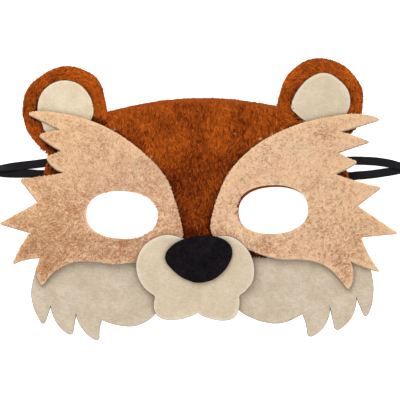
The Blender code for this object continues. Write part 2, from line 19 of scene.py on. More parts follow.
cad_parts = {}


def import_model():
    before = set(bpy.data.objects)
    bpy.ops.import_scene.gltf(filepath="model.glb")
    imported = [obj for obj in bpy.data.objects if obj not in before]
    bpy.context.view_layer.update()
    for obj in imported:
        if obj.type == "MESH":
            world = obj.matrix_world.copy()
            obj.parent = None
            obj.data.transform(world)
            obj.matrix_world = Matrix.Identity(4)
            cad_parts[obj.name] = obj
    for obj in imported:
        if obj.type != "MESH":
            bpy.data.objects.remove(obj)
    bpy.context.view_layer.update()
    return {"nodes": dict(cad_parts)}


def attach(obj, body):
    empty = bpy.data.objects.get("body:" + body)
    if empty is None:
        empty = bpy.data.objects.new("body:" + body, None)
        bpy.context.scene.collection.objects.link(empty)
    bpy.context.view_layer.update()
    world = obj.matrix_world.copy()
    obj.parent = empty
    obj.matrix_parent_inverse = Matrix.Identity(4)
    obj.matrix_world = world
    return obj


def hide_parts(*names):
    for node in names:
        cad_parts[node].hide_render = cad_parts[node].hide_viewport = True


log = logging.getLogger("mask")

MM = 0.001
BODY = "root"
RGB = tuple[int, int, int]
Value = float | bpy.types.NodeSocket
Colour = tuple[float, float, float, float] | bpy.types.NodeSocket


class Side(Enum):
    """A half of the mask, as someone who looks at its front sees it."""

    LEFT = -1
    RIGHT = 1

    @property
    def word(self) -> str:
        """The side's name in lower case."""
        return self.name.lower()


class Nap(Enum):
    """Which way a pile is brushed."""

    ROUND_THE_EARS = "down, and round the ears"
    OUTWARD = "outward"


def linear(colour: RGB) -> tuple[float, float, float, float]:
    """A colour as the shader reads it.

    Args:
        colour: red, green and blue from 0 to 255, as the eye sees them.

    Returns:
        The linear colour with full alpha.
    """
    shares = [c / 255 for c in colour]
    values = [s / 12.92 if s <= 0.04045 else ((s + 0.055) / 1.055) ** 2.4 for s in shares]
    return (values[0], values[1], values[2], 1.0)


def patchy(places: np.ndarray, size: float, seed: int) -> np.ndarray:
    """Smooth random values over the plane.

    Args:
        places: points, of which x and y are read.
        size: the distance between one random value and the next.
        seed: the number that the random values start from.

    Returns:
        One value from -1 to 1 for each point.
    """
    cells = 64
    table = np.random.default_rng(seed).uniform(-1.0, 1.0, (cells, cells))
    scaled = places[:, :2] / size + cells / 2
    cell = np.floor(scaled).astype(int)
    share = scaled - cell
    share = share * share * (3 - 2 * share)
    x0, y0 = cell[:, 0] % cells, cell[:, 1] % cells
    x1, y1 = (x0 + 1) % cells, (y0 + 1) % cells
    low = table[x0, y0] * (1 - share[:, 0]) + table[x1, y0] * share[:, 0]
    high = table[x0, y1] * (1 - share[:, 0]) + table[x1, y1] * share[:, 0]
    return low * (1 - share[:, 1]) + high * share[:, 1]


def inside(places: np.ndarray, loop: np.ndarray) -> np.ndarray:
    """Which places lie inside a closed loop.

    Args:
        places: points in the plane.
        loop: the corners of the loop.

    Returns:
        True or False for each place.
    """
    x, y = places[:, 0][:, None], places[:, 1][:, None]
    x0, y0 = loop[:, 0], loop[:, 1]
    x1, y1 = np.roll(x0, -1), np.roll(y0, -1)
    spans = (y0 <= y) != (y1 <= y)
    rise = np.where(y1 == y0, 1.0, y1 - y0)
    return (spans & (x < x0 + (y - y0) * (x1 - x0) / rise)).sum(axis=1) % 2 == 1


def to_loop(places: np.ndarray, loop: np.ndarray) -> np.ndarray:
    """The distance from each place to a closed loop.

    Args:
        places: points in the plane.
        loop: the corners of the loop.

    Returns:
        One distance for each place.
    """
    way = np.roll(loop, -1, axis=0) - loop
    offset = places[:, None, :2] - loop
    share = np.clip((offset * way).sum(axis=2) / (way * way).sum(axis=1), 0.0, 1.0)
    return np.linalg.norm(offset - share[:, :, None] * way, axis=2).min(axis=1)


def in_batches(
    work: Callable[[np.ndarray, np.ndarray], np.ndarray],
    places: np.ndarray,
    loop: np.ndarray,
    size: int = 4000,
) -> np.ndarray:
    """Runs inside or to_loop on a few thousand places at a time, to save memory.

    Args:
        work: the function to run.
        places: all the points.
        loop: the loop that it takes.
        size: how many points go in at once.

    Returns:
        What the function gives for all the points.
    """
    starts = range(0, max(len(places), 1), size)
    return np.concatenate([work(places[i : i + size], loop) for i in starts])


def smooth_curve(knots: np.ndarray, step: float) -> np.ndarray:
    """An open curve through the knots, with points an even step apart.

    Args:
        knots: one row for each knot. All columns are carried along, the first two give lengths.
        step: the distance between points.

    Returns:
        The points, both ends among them.
    """
    ends = np.vstack([2 * knots[:1] - knots[1:2], knots, 2 * knots[-1:] - knots[-2:-1]])
    parts = 8
    fine = []
    for a, b, c, d in zip(ends, ends[1:], ends[2:], ends[3:]):
        for share in np.arange(parts) / parts:
            fine.append(
                b
                + 0.5 * share * (c - a)
                + share**2 * (a - 2.5 * b + 2 * c - 0.5 * d)
                + share**3 * (1.5 * b - 0.5 * a - 1.5 * c + 0.5 * d)
            )
    fine.append(knots[-1])
    curve = np.array(fine)
    lengths = np.linalg.norm(np.diff(curve[:, :2], axis=0), axis=1)
    along = np.concatenate([[0.0], np.cumsum(lengths)])
    count = max(1, round(along[-1] / step))
    stops = np.linspace(0.0, along[-1], count + 1)
    return np.column_stack([np.interp(stops, along, curve[:, i]) for i in range(curve.shape[1])])


def smooth_loop(loop: np.ndarray, step: float, corner: float = math.radians(68)) -> np.ndarray:
    """A closed loop made finer: curved between its corners, which are kept.

    Args:
        loop: the corners and points of the loop.
        step: the distance between the new points.
        corner: the turn from which a point is a corner.

    Returns:
        The finer loop.
    """
    before, after = loop - np.roll(loop, 1, axis=0), np.roll(loop, -1, axis=0) - loop
    cosine = (before * after).sum(axis=1) / (
        np.linalg.norm(before, axis=1) * np.linalg.norm(after, axis=1)
    )
    corners = np.flatnonzero(np.arccos(np.clip(cosine, -1.0, 1.0)) > corner)
    if not len(corners):
        wrapped = np.vstack([loop[-2:], loop, loop[:3]])
        curve = smooth_curve(wrapped, step)
        start = np.argmin(np.linalg.norm(curve[: len(curve) // 3] - loop[0], axis=1))
        skipped = 3
        rest = curve[start + skipped :]
        end = start + skipped + np.argmin(np.linalg.norm(rest - loop[0], axis=1))
        return curve[start:end]
    rolled = np.roll(loop, -corners[0], axis=0)
    stops = [*(corners - corners[0]), len(loop)]
    rolled = np.vstack([rolled, rolled[:1]])
    runs = [smooth_curve(rolled[a : b + 1], step)[:-1] for a, b in zip(stops, stops[1:])]
    return np.vstack(runs)


def turns(one: np.ndarray, two: np.ndarray) -> np.ndarray:
    """The angle from each step of a path to the next one, to the left, in radians."""
    return np.arctan2(one[:, 0] * two[:, 1] - one[:, 1] * two[:, 0], (one * two).sum(axis=1))


def blunted(loop: np.ndarray, rounds: int) -> np.ndarray:
    """Rounds off the points of a counterclockwise loop, and leaves its notches.

    Args:
        loop: the points of the loop.
        rounds: how many times each sharp point moves towards its neighbours' middle.

    Returns:
        The rounder loop.
    """
    mildest, over = math.radians(12), math.radians(30)
    for _ in range(rounds):
        before, after = np.roll(loop, 1, axis=0), np.roll(loop, -1, axis=0)
        turn = turns(loop - before, after - loop)
        sharp = np.clip((turn - mildest) / over, 0.0, 1.0)[:, None]
        loop = loop + 0.5 * sharp * ((before + after) / 2 - loop)
    return loop


def eased(loop: np.ndarray, rounds: int) -> np.ndarray:
    """Evens out the gentle bends of a loop, and leaves its points and notches.

    Args:
        loop: the points of the loop, evenly spaced.
        rounds: how many times each point moves halfway to its neighbours' middle.

    Returns:
        The smoother loop.
    """
    reach, sharpest, kept_each_way = 3, math.radians(42), 4
    before, after = np.roll(loop, reach, axis=0), np.roll(loop, -reach, axis=0)
    sharp = np.abs(turns(loop - before, after - loop)) > sharpest
    shifts = range(-kept_each_way, kept_each_way + 1)
    kept = np.any([np.roll(sharp, shift) for shift in shifts], axis=0)[:, None]
    for _ in range(rounds):
        middle = (np.roll(loop, 1, axis=0) + np.roll(loop, -1, axis=0)) / 2
        loop = np.where(kept, loop, (loop + middle) / 2)
    return loop


@dataclass
class PanelForm:
    """The form of one flat piece, read from its solid.

    Attributes:
        name: the solid's node.
        loops: its outline, then its holes.
        wall: its thickness.
        top: its upper surface, for heights.
    """

    name: str
    loops: list[np.ndarray]
    wall: float
    top: BVHTree

    @classmethod
    def of(cls, node: bpy.types.Object) -> "PanelForm":
        """Reads the form of a node.

        Args:
            node: the solid as the frame holds it.

        Returns:
            Its form.
        """
        weld, level = 1e-6, 0.5
        corners = np.array([v.co for v in node.data.vertices])
        node.data.calc_loop_triangles()
        faces = np.array([t.vertices for t in node.data.loop_triangles])
        _, first, index = np.unique(
            np.round(corners / weld), axis=0, return_index=True, return_inverse=True
        )
        corners, faces = corners[first], index.reshape(-1)[faces]
        normals = np.cross(
            corners[faces[:, 1]] - corners[faces[:, 0]], corners[faces[:, 2]] - corners[faces[:, 0]]
        )
        normals /= np.linalg.norm(normals, axis=1)[:, None]
        upper = faces[normals[:, 2] > level]
        loops = cls._rims(corners, upper)
        tree = BVHTree.FromPolygons([tuple(c) for c in corners], [tuple(f) for f in upper])
        lower = faces[normals[:, 2] < -level]
        below = BVHTree.FromPolygons([tuple(c) for c in corners], [tuple(f) for f in lower])
        middle = corners[upper[len(upper) // 2]].mean(axis=0)
        hit = below.ray_cast(Vector((middle[0], middle[1], -1.0)), Vector((0, 0, 1)))[0]
        return cls(node.name, loops, float(middle[2] - hit.z), tree)

    @staticmethod
    def _rims(corners: np.ndarray, upper: np.ndarray) -> list[np.ndarray]:
        """The closed loops round a set of triangles.

        Args:
            corners: the places of the corners.
            upper: the corner numbers of each triangle.

        Returns:
            The loops in the plane, the broadest first.
        """
        onward: dict[int, int] = {}
        edges = {(a, b) for face in upper.tolist() for a, b in zip(face, face[1:] + face[:1])}
        for a, b in edges:
            if (b, a) not in edges:
                onward[a] = b
        loops = []
        while onward:
            first = next(iter(onward))
            chain = [first]
            following = onward.pop(first)
            while following != first:
                chain.append(following)
                following = onward.pop(following)
            loops.append(corners[chain][:, :2])
        return sorted(loops, key=lambda loop: -np.ptp(loop[:, 0]))

    def heights(self, places: np.ndarray) -> np.ndarray:
        """The height of the upper surface at places in the plane.

        Args:
            places: points, of which x and y are read.

        Returns:
            One height for each place. Just outside the outline it is the nearest edge's.
        """
        found = []
        for x, y in places[:, :2]:
            hit = self.top.ray_cast(Vector((x, y, 1.0)), Vector((0, 0, -1)))[0]
            if hit is None:
                hit = self.top.find_nearest(Vector((x, y, found[-1] if found else 0.01)))[0]
            found.append(hit.z)
        return np.array(found)

    def holds(self, places: np.ndarray, inset: float = 0.0) -> np.ndarray:
        """Which places lie on the piece, and not in its holes.

        Args:
            places: points in the plane.
            inset: how far inside its rims they have to be.

        Returns:
            True or False for each place.
        """
        on_it = in_batches(inside, places, self.loops[0])
        for hole in self.loops[1:]:
            on_it &= ~in_batches(inside, places, hole)
        if inset:
            for loop in self.loops:
                on_it[on_it] &= in_batches(to_loop, places[on_it], loop) > inset
        return on_it

    def area(self) -> float:
        """Works out how much cloth the piece takes.

        Returns:
            Its flat area without its holes, in square metres.
        """
        areas = []
        for loop in self.loops:
            x, y = loop[:, 0], loop[:, 1]
            areas.append(abs(np.sum(x * np.roll(y, -1) - y * np.roll(x, -1))) / 2)
        return areas[0] - sum(areas[1:])


class NodeKit:
    """Short ways to build a shader tree.

    Args:
        tree: the node tree to add to.
    """

    def __init__(self, tree: bpy.types.NodeTree) -> None:
        self.tree = tree

    def add(self, kind: str, inputs: dict | None = None, **settings: object) -> bpy.types.Node:
        """Adds a node.

        Args:
            kind: the node's type without the ShaderNode in front.
            inputs: socket name or number to a value, or to the socket that feeds it.
            settings: the node's own properties.

        Returns:
            The node.
        """
        node = self.tree.nodes.new("ShaderNode" + kind)
        for name, value in settings.items():
            setattr(node, name, value)
        for name, value in (inputs or {}).items():
            if isinstance(value, bpy.types.NodeSocket):
                self.tree.links.new(value, node.inputs[name])
            else:
                node.inputs[name].default_value = value
        return node

    def mix(
        self, share: Value, one: Colour, two: Colour, blend: str = "MIX"
    ) -> bpy.types.NodeSocket:
        """A colour between two others.

        Args:
            share: how much of the second one.
            one: the first colour or its socket.
            two: the second colour or its socket.
            blend: how they are blended.

        Returns:
            The socket that gives the colour.
        """
        node = self.add("Mix", data_type="RGBA", blend_type=blend)
        for index, value in ((0, share), (6, one), (7, two)):
            if isinstance(value, bpy.types.NodeSocket):
                self.tree.links.new(value, node.inputs[index])
            else:
                node.inputs[index].default_value = value
        return node.outputs[2]

    def sum(self, one: Value, two: Value, kind: str = "ADD") -> bpy.types.NodeSocket:
        """One value worked out from two, by a Math node of the given kind."""
        return self.add("Math", {0: one, 1: two}, operation=kind).outputs[0]

    def spread(
        self, value: Value, low: float, high: float, new_low: float, new_high: float
    ) -> bpy.types.NodeSocket:
        """A value moved from one range to another, and kept in it."""
        node = self.add("MapRange", {0: value, 1: low, 2: high, 3: new_low, 4: new_high})
        return node.outputs[0]


class EffectGroups:
    """The shader effects that several finishes share, each built once as a node group."""

    @staticmethod
    def _begin(name: str, inputs: dict, outputs: dict) -> tuple[bpy.types.NodeTree, NodeKit, dict]:
        """Starts a group with named sockets.

        Args:
            name: the group's name.
            inputs: the name of each input to its kind and its value.
            outputs: the name of each output to its kind.

        Returns:
            The group, a kit to add nodes to it, and the sockets that give its inputs.
        """
        group = bpy.data.node_groups.new(name, "ShaderNodeTree")
        for label, (kind, value) in inputs.items():
            socket = group.interface.new_socket(
                label, in_out="INPUT", socket_type="NodeSocket" + kind
            )
            socket.default_value = value
        for label, kind in outputs.items():
            group.interface.new_socket(label, in_out="OUTPUT", socket_type="NodeSocket" + kind)
        kit = NodeKit(group)
        entry = group.nodes.new("NodeGroupInput")
        return group, kit, {label: entry.outputs[label] for label in inputs}

    @staticmethod
    def _end(group: bpy.types.NodeTree, results: dict) -> bpy.types.NodeTree:
        """Wires the results of a group to its output sockets.

        Args:
            group: the group.
            results: the name of each output to the socket that feeds it.

        Returns:
            The group.
        """
        leave = group.nodes.new("NodeGroupOutput")
        for label, socket in results.items():
            group.links.new(socket, leave.inputs[label])
        return group

    @classmethod
    def fibres(cls) -> bpy.types.NodeTree:
        """Pressed fibres: soft mottling, short crossing hairs and a little grain.

        Returns:
            A group that gives a tone from 0 to 1 and a height from 0 to 1.
        """
        name = "Pressed fibres"
        if name in bpy.data.node_groups:
            return bpy.data.node_groups[name]
        group, kit, given = cls._begin(
            name,
            {"Fibres per metre": ("Float", 1500.0), "Mottle per metre": ("Float", 110.0)},
            {"Tone": "Float", "Height": "Float"},
        )
        place = kit.add("TexCoord").outputs["Object"]
        mottle = kit.add(
            "TexNoise", {"Vector": place, "Scale": given["Mottle per metre"], "Detail": 3.0}
        ).outputs[0]
        hairs = []
        for turn in (0.5, 1.7, 2.6):
            turned = kit.add("Mapping", {"Vector": place}, vector_type="TEXTURE")
            turned.inputs["Rotation"].default_value = (0.0, 0.0, turn)
            turned.inputs["Scale"].default_value = (1.0, 5.0, 1.0)
            hair = kit.add(
                "TexNoise",
                {
                    "Vector": turned.outputs[0],
                    "Scale": given["Fibres per metre"],
                    "Detail": 2.0,
                    "Distortion": 0.6,
                },
            )
            hairs.append(kit.spread(hair.outputs[0], 0.3, 0.7, 0.0, 1.0))
        most = kit.sum(kit.sum(hairs[0], hairs[1], "MAXIMUM"), hairs[2], "MAXIMUM")
        mean = kit.sum(kit.sum(hairs[0], hairs[1]), 0.5, "MULTIPLY")
        tone = kit.sum(kit.sum(mottle, 0.55, "MULTIPLY"), kit.sum(mean, 0.45, "MULTIPLY"))
        height = kit.sum(kit.sum(most, 0.7, "MULTIPLY"), kit.sum(mottle, 0.3, "MULTIPLY"))
        return cls._end(group, {"Tone": tone, "Height": height})

    @classmethod
    def cut_edge(cls) -> bpy.types.NodeTree:
        """Where a panel was cut: its side walls.

        Returns:
            A group that gives a mask of 1 on the walls and 0 on the flat faces.
        """
        name = "Cut edge"
        if name in bpy.data.node_groups:
            return bpy.data.node_groups[name]
        group, kit, given = cls._begin(name, {"Sharpness": ("Float", 0.2)}, {"Mask": "Float"})
        normal = kit.add("NewGeometry").outputs["Normal"]
        up = kit.add("SeparateXYZ", {0: normal}).outputs[2]
        flat = kit.sum(up, 0.0, "ABSOLUTE")
        edge = kit.sum(0.75, flat, "SUBTRACT")
        mask = kit.add("Math", {0: kit.sum(edge, given["Sharpness"], "DIVIDE")}, use_clamp=True)
        return cls._end(group, {"Mask": mask.outputs[0]})

    @classmethod
    def pile_tone(cls) -> bpy.types.NodeTree:
        """The colour of a strand, from its own tone and how far along it a place is, multiplied by
        the finish's colour for its shadow and warmth: a painted shadow on the brown, a warmer
        colour on the tan.

        Returns:
            A group that gives a colour.
        """
        name = "Pile tone"
        if name in bpy.data.node_groups:
            return bpy.data.node_groups[name]
        group, kit, given = cls._begin(
            name,
            {
                "Root": ("Color", (0, 0, 0, 1)),
                "Dark": ("Color", (0.1, 0.1, 0.1, 1)),
                "Light": ("Color", (1, 1, 1, 1)),
                "Root share": ("Float", 0.5),
                "Tint": ("Color", (1, 1, 1, 1)),
            },
            {"Color": "Color"},
        )
        tone = kit.add("Attribute", attribute_name="tone").outputs["Fac"]
        along = kit.add("Attribute", attribute_name="along").outputs["Fac"]
        body = kit.mix(tone, given["Dark"], given["Light"])
        dark = kit.sum(kit.sum(1.0, along, "SUBTRACT"), given["Root share"], "MULTIPLY")
        strand = kit.mix(dark, body, given["Root"])
        # Painted shadow on the brown, a warmer colour on the tan.
        tint = kit.add("Attribute", attribute_name="tint").outputs["Fac"]
        return cls._end(group, {"Color": kit.mix(tint, strand, given["Tint"], "MULTIPLY")})

    @classmethod
    def weave(cls) -> bpy.types.NodeTree:
        """The ribs and cross threads of narrow elastic, from its own across and along values.

        Returns:
            A group that gives a height from 0 to 1.
        """
        name = "Elastic weave"
        if name in bpy.data.node_groups:
            return bpy.data.node_groups[name]
        group, kit, given = cls._begin(
            name,
            {"Ribs": ("Float", 8.0), "Threads per metre": ("Float", 1400.0)},
            {"Height": "Float"},
        )
        across = kit.add("Attribute", attribute_name="across").outputs["Fac"]
        along = kit.add("Attribute", attribute_name="along").outputs["Fac"]
        waves = []
        for place, label in ((across, "Ribs"), (along, "Threads per metre")):
            turn = kit.sum(kit.sum(place, given[label], "MULTIPLY"), math.tau, "MULTIPLY")
            waves.append(kit.spread(kit.sum(turn, 0.0, "SINE"), -1.0, 1.0, 0.0, 1.0))
        rib, thread = waves
        height = kit.sum(kit.sum(rib, 0.7, "MULTIPLY"), kit.sum(thread, 0.3, "MULTIPLY"))
        return cls._end(group, {"Height": height})


def begun(name: str) -> tuple[bpy.types.Material, NodeKit, bpy.types.Node]:
    """Starts a material.

    Args:
        name: its name.

    Returns:
        The material, a kit to add nodes to it, and its Principled BSDF.
    """
    material = bpy.data.materials.new(name)
    material.use_nodes = True
    return material, NodeKit(material.node_tree), material.node_tree.nodes["Principled BSDF"]


@dataclass(frozen=True)
class FeltFinish:
    """Pressed felt, or the backing cloth of a plush.

    Attributes:
        name: the material's name.
        slot: the record's material slot; not used.
        dark: its colour in the mottling's low places.
        light: its colour in the high places.
        edge: the colour of its cut side wall, greyer than its face and on most felts darker, as
            painted shade on the wall.
        hollow: its colour where another layer lies close over it, as painted shade.
        bump: how deep the fibres look, in metres.
        roughness: how matt it is.
        sheen: how much the fibres catch the light.
        tones: the range of the fibres' tones that goes from dark to light.
        worn: the colour that its rim turns to, as a painted highlight.
        worn_share: how far it turns to that.
        hollow_share: how far the painted shade turns it to that colour.
        edge_share: how far a cut edge turns to its colour.
        bump_strength: how strongly the fibres' height is read.
        specular: how much it reflects.
    """

    name: str
    slot: str
    dark: RGB
    light: RGB
    edge: RGB
    hollow: RGB
    bump: float = 0.12 * MM
    roughness: float = 0.92
    sheen: float = 0.06
    tones: tuple[float, float] = (0.35, 0.65)
    worn: tuple[float, float, float, float] = (1.0, 0.95, 0.86, 1.0)
    worn_share: float = 0.3
    hollow_share: float = 0.7
    edge_share: float = 0.85
    bump_strength: float = 0.6
    specular: float = 0.1

    def material(self) -> bpy.types.Material:
        """Builds the material.

        Returns:
            The material.
        """
        material, kit, shader = begun(self.name)
        fibres = kit.add("Group", node_tree=EffectGroups.fibres())
        edge = kit.add("Group", node_tree=EffectGroups.cut_edge())
        spread = kit.spread(fibres.outputs["Tone"], *self.tones, 0.0, 1.0)
        flat = kit.mix(spread, linear(self.dark), linear(self.light))
        # Painted highlight along the rim.
        rim = kit.add("Attribute", attribute_name="rim").outputs["Fac"]
        flat = kit.mix(kit.sum(rim, self.worn_share, "MULTIPLY"), flat, self.worn)
        # Painted shade where another piece lies close over the felt.
        hollow = kit.add("Attribute", attribute_name="hollow").outputs["Fac"]
        painted_shade_amount = kit.sum(hollow, self.hollow_share, "MULTIPLY")
        flat = kit.mix(painted_shade_amount, flat, linear(self.hollow))
        # The cut wall's colour, darker than the face on most felts: painted shade on the wall.
        cut = kit.sum(edge.outputs["Mask"], self.edge_share, "MULTIPLY")
        colour = kit.mix(cut, flat, linear(self.edge))
        links = material.node_tree.links
        links.new(colour, shader.inputs["Base Color"])
        bump = kit.add(
            "Bump", {"Height": fibres.outputs["Height"], "Strength": self.bump_strength}
        )
        bump.inputs["Distance"].default_value = self.bump
        links.new(bump.outputs[0], shader.inputs["Normal"])
        shader.inputs["Roughness"].default_value = self.roughness
        shader.inputs["Sheen Weight"].default_value = self.sheen
        shader.inputs["Specular IOR Level"].default_value = self.specular
        return material


@dataclass(frozen=True)
class PileFinish:
    """The strands of a short plush.

    Attributes:
        name: the material's name.
        slot: the record's material slot; not used.
        root: the colour deep in the pile.
        dark: the darkest strand.
        light: the lightest strand.
        root_share: how much the root's colour shows at the root.
        tint: what the colour is multiplied by where the pile turns to it: a painted shadow on the
            brown, a warmer colour on the tan.
        roughness: how matt it is.
        specular: how much it reflects.
    """

    name: str
    slot: str
    root: RGB
    dark: RGB
    light: RGB
    root_share: float
    tint: RGB
    roughness: float = 0.75
    specular: float = 0.08

    def material(self) -> bpy.types.Material:
        """Builds the material.

        Returns:
            The material.
        """
        material, kit, shader = begun(self.name)
        tone = kit.add(
            "Group",
            {
                "Root": linear(self.root),
                "Dark": linear(self.dark),
                "Light": linear(self.light),
                "Root share": self.root_share,
                "Tint": linear(self.tint),
            },
            node_tree=EffectGroups.pile_tone(),
        )
        material.node_tree.links.new(tone.outputs["Color"], shader.inputs["Base Color"])
        shader.inputs["Roughness"].default_value = self.roughness
        shader.inputs["Specular IOR Level"].default_value = self.specular
        return material


@dataclass(frozen=True)
class ElasticFinish:
    """Narrow woven elastic.

    Attributes:
        name: the material's name.
        slot: the record's material slot; not used.
        colour: its colour between the threads.
        thread: the colour of its raised threads.
        roughness: how matt it is.
        specular: how much it reflects.
        bump: how deep the weave looks, in metres.
        bump_strength: how strongly the weave's height is read.
    """

    name: str
    slot: str
    colour: RGB
    thread: RGB
    roughness: float = 0.55
    specular: float = 0.15
    bump: float = 0.12 * MM
    bump_strength: float = 0.7

    def material(self) -> bpy.types.Material:
        """Builds the material.

        Returns:
            The material.
        """
        material, kit, shader = begun(self.name)
        weave = kit.add("Group", node_tree=EffectGroups.weave())
        colour = kit.mix(weave.outputs["Height"], linear(self.colour), linear(self.thread))
        links = material.node_tree.links
        links.new(colour, shader.inputs["Base Color"])
        bump = kit.add("Bump", {"Height": weave.outputs["Height"], "Strength": self.bump_strength})
        bump.inputs["Distance"].default_value = self.bump
        links.new(bump.outputs[0], shader.inputs["Normal"])
        shader.inputs["Roughness"].default_value = self.roughness
        shader.inputs["Specular IOR Level"].default_value = self.specular
        return material


# Each felt's colours: dark, light, its cut wall's colour, darker on most as painted shade, and its
# painted shade where a piece lies close over it.
BROWN_GROUND = FeltFinish(
    "brown plush ground", "brown_plush", (135, 58, 13), (160, 75, 21), (140, 76, 34), (50, 20, 8)
)
TAN_GROUND = FeltFinish(
    "tan plush ground",
    "tan_plush",
    (220, 178, 138),
    (236, 198, 158),
    (160, 146, 136),
    (150, 108, 74),
)
JOWL_FELT = FeltFinish(
    "jowl felt", "jowl_felt", (192, 175, 150), (212, 196, 175), (108, 98, 89), (118, 102, 85)
)
PALE_EAR_FELT = FeltFinish(
    "pale ear felt", "ear_felt", (210, 191, 161), (225, 209, 182), (145, 127, 102), (141, 124, 96)
)
EAR_FELT = FeltFinish(
    "ear felt", "ear_felt", (200, 183, 155), (216, 199, 174), (137, 120, 96), (125, 110, 87)
)
MUZZLE_FELT = FeltFinish(
    "muzzle felt", "muzzle_felt", (202, 183, 155), (217, 200, 176), (133, 118, 96), (127, 108, 85)
)
NOSE_FELT = FeltFinish(
    "nose felt",
    "nose_felt",
    (7, 5, 8),
    (26, 21, 26),
    (3, 2, 4),
    (3, 2, 4),
    bump=0.06 * MM,
    roughness=0.95,
    sheen=0.0,
)
# The brown pile's last colour is its painted shadow against the pieces that lie on it.
BROWN_PILE = PileFinish(
    "brown plush pile", "brown_plush", (89, 25, 2), (96, 27, 2), (243, 120, 30), 0.36, (64, 46, 40)
)
TAN_PILE = PileFinish(
    "tan plush pile",
    "tan_plush",
    (208, 150, 102),
    (194, 127, 79),
    (255, 230, 198),
    0.22,
    (255, 249, 227),
)
ELASTIC = ElasticFinish("black elastic", "elastic", (6, 5, 8), (21, 18, 26))


def new_piece(
    name: str,
    corners: np.ndarray,
    faces: np.ndarray,
    finish: FeltFinish | PileFinish | ElasticFinish,
    values: dict[str, np.ndarray] | None = None,
    normals: np.ndarray | None = None,
) -> bpy.types.Object:
    """A mesh object in its finish, which rides on the body.

    Args:
        name: the object's name.
        corners: one row for each corner.
        faces: one row of corner numbers for each face.
        finish: what it is made of.
        values: named values for each corner, which its material reads.
        normals: the way each corner is shaded, where that isn't the way its faces look.

    Returns:
        The object.
    """
    mesh = bpy.data.meshes.new(name)
    mesh.from_pydata(corners.tolist(), [], faces.tolist())
    for label, numbers in (values or {}).items():
        mesh.attributes.new(label, "FLOAT", "POINT").data.foreach_set(
            "value", np.ascontiguousarray(numbers, np.float32)
        )
    mesh.shade_smooth()
    mesh.materials.append(bpy.data.materials.get(finish.name) or finish.material())
    if normals is not None:
        mesh.normals_split_custom_set_from_vertices(normals.tolist())
    piece = bpy.data.objects.new(name, mesh)
    bpy.context.scene.collection.objects.link(piece)
    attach(piece, BODY)
    return piece


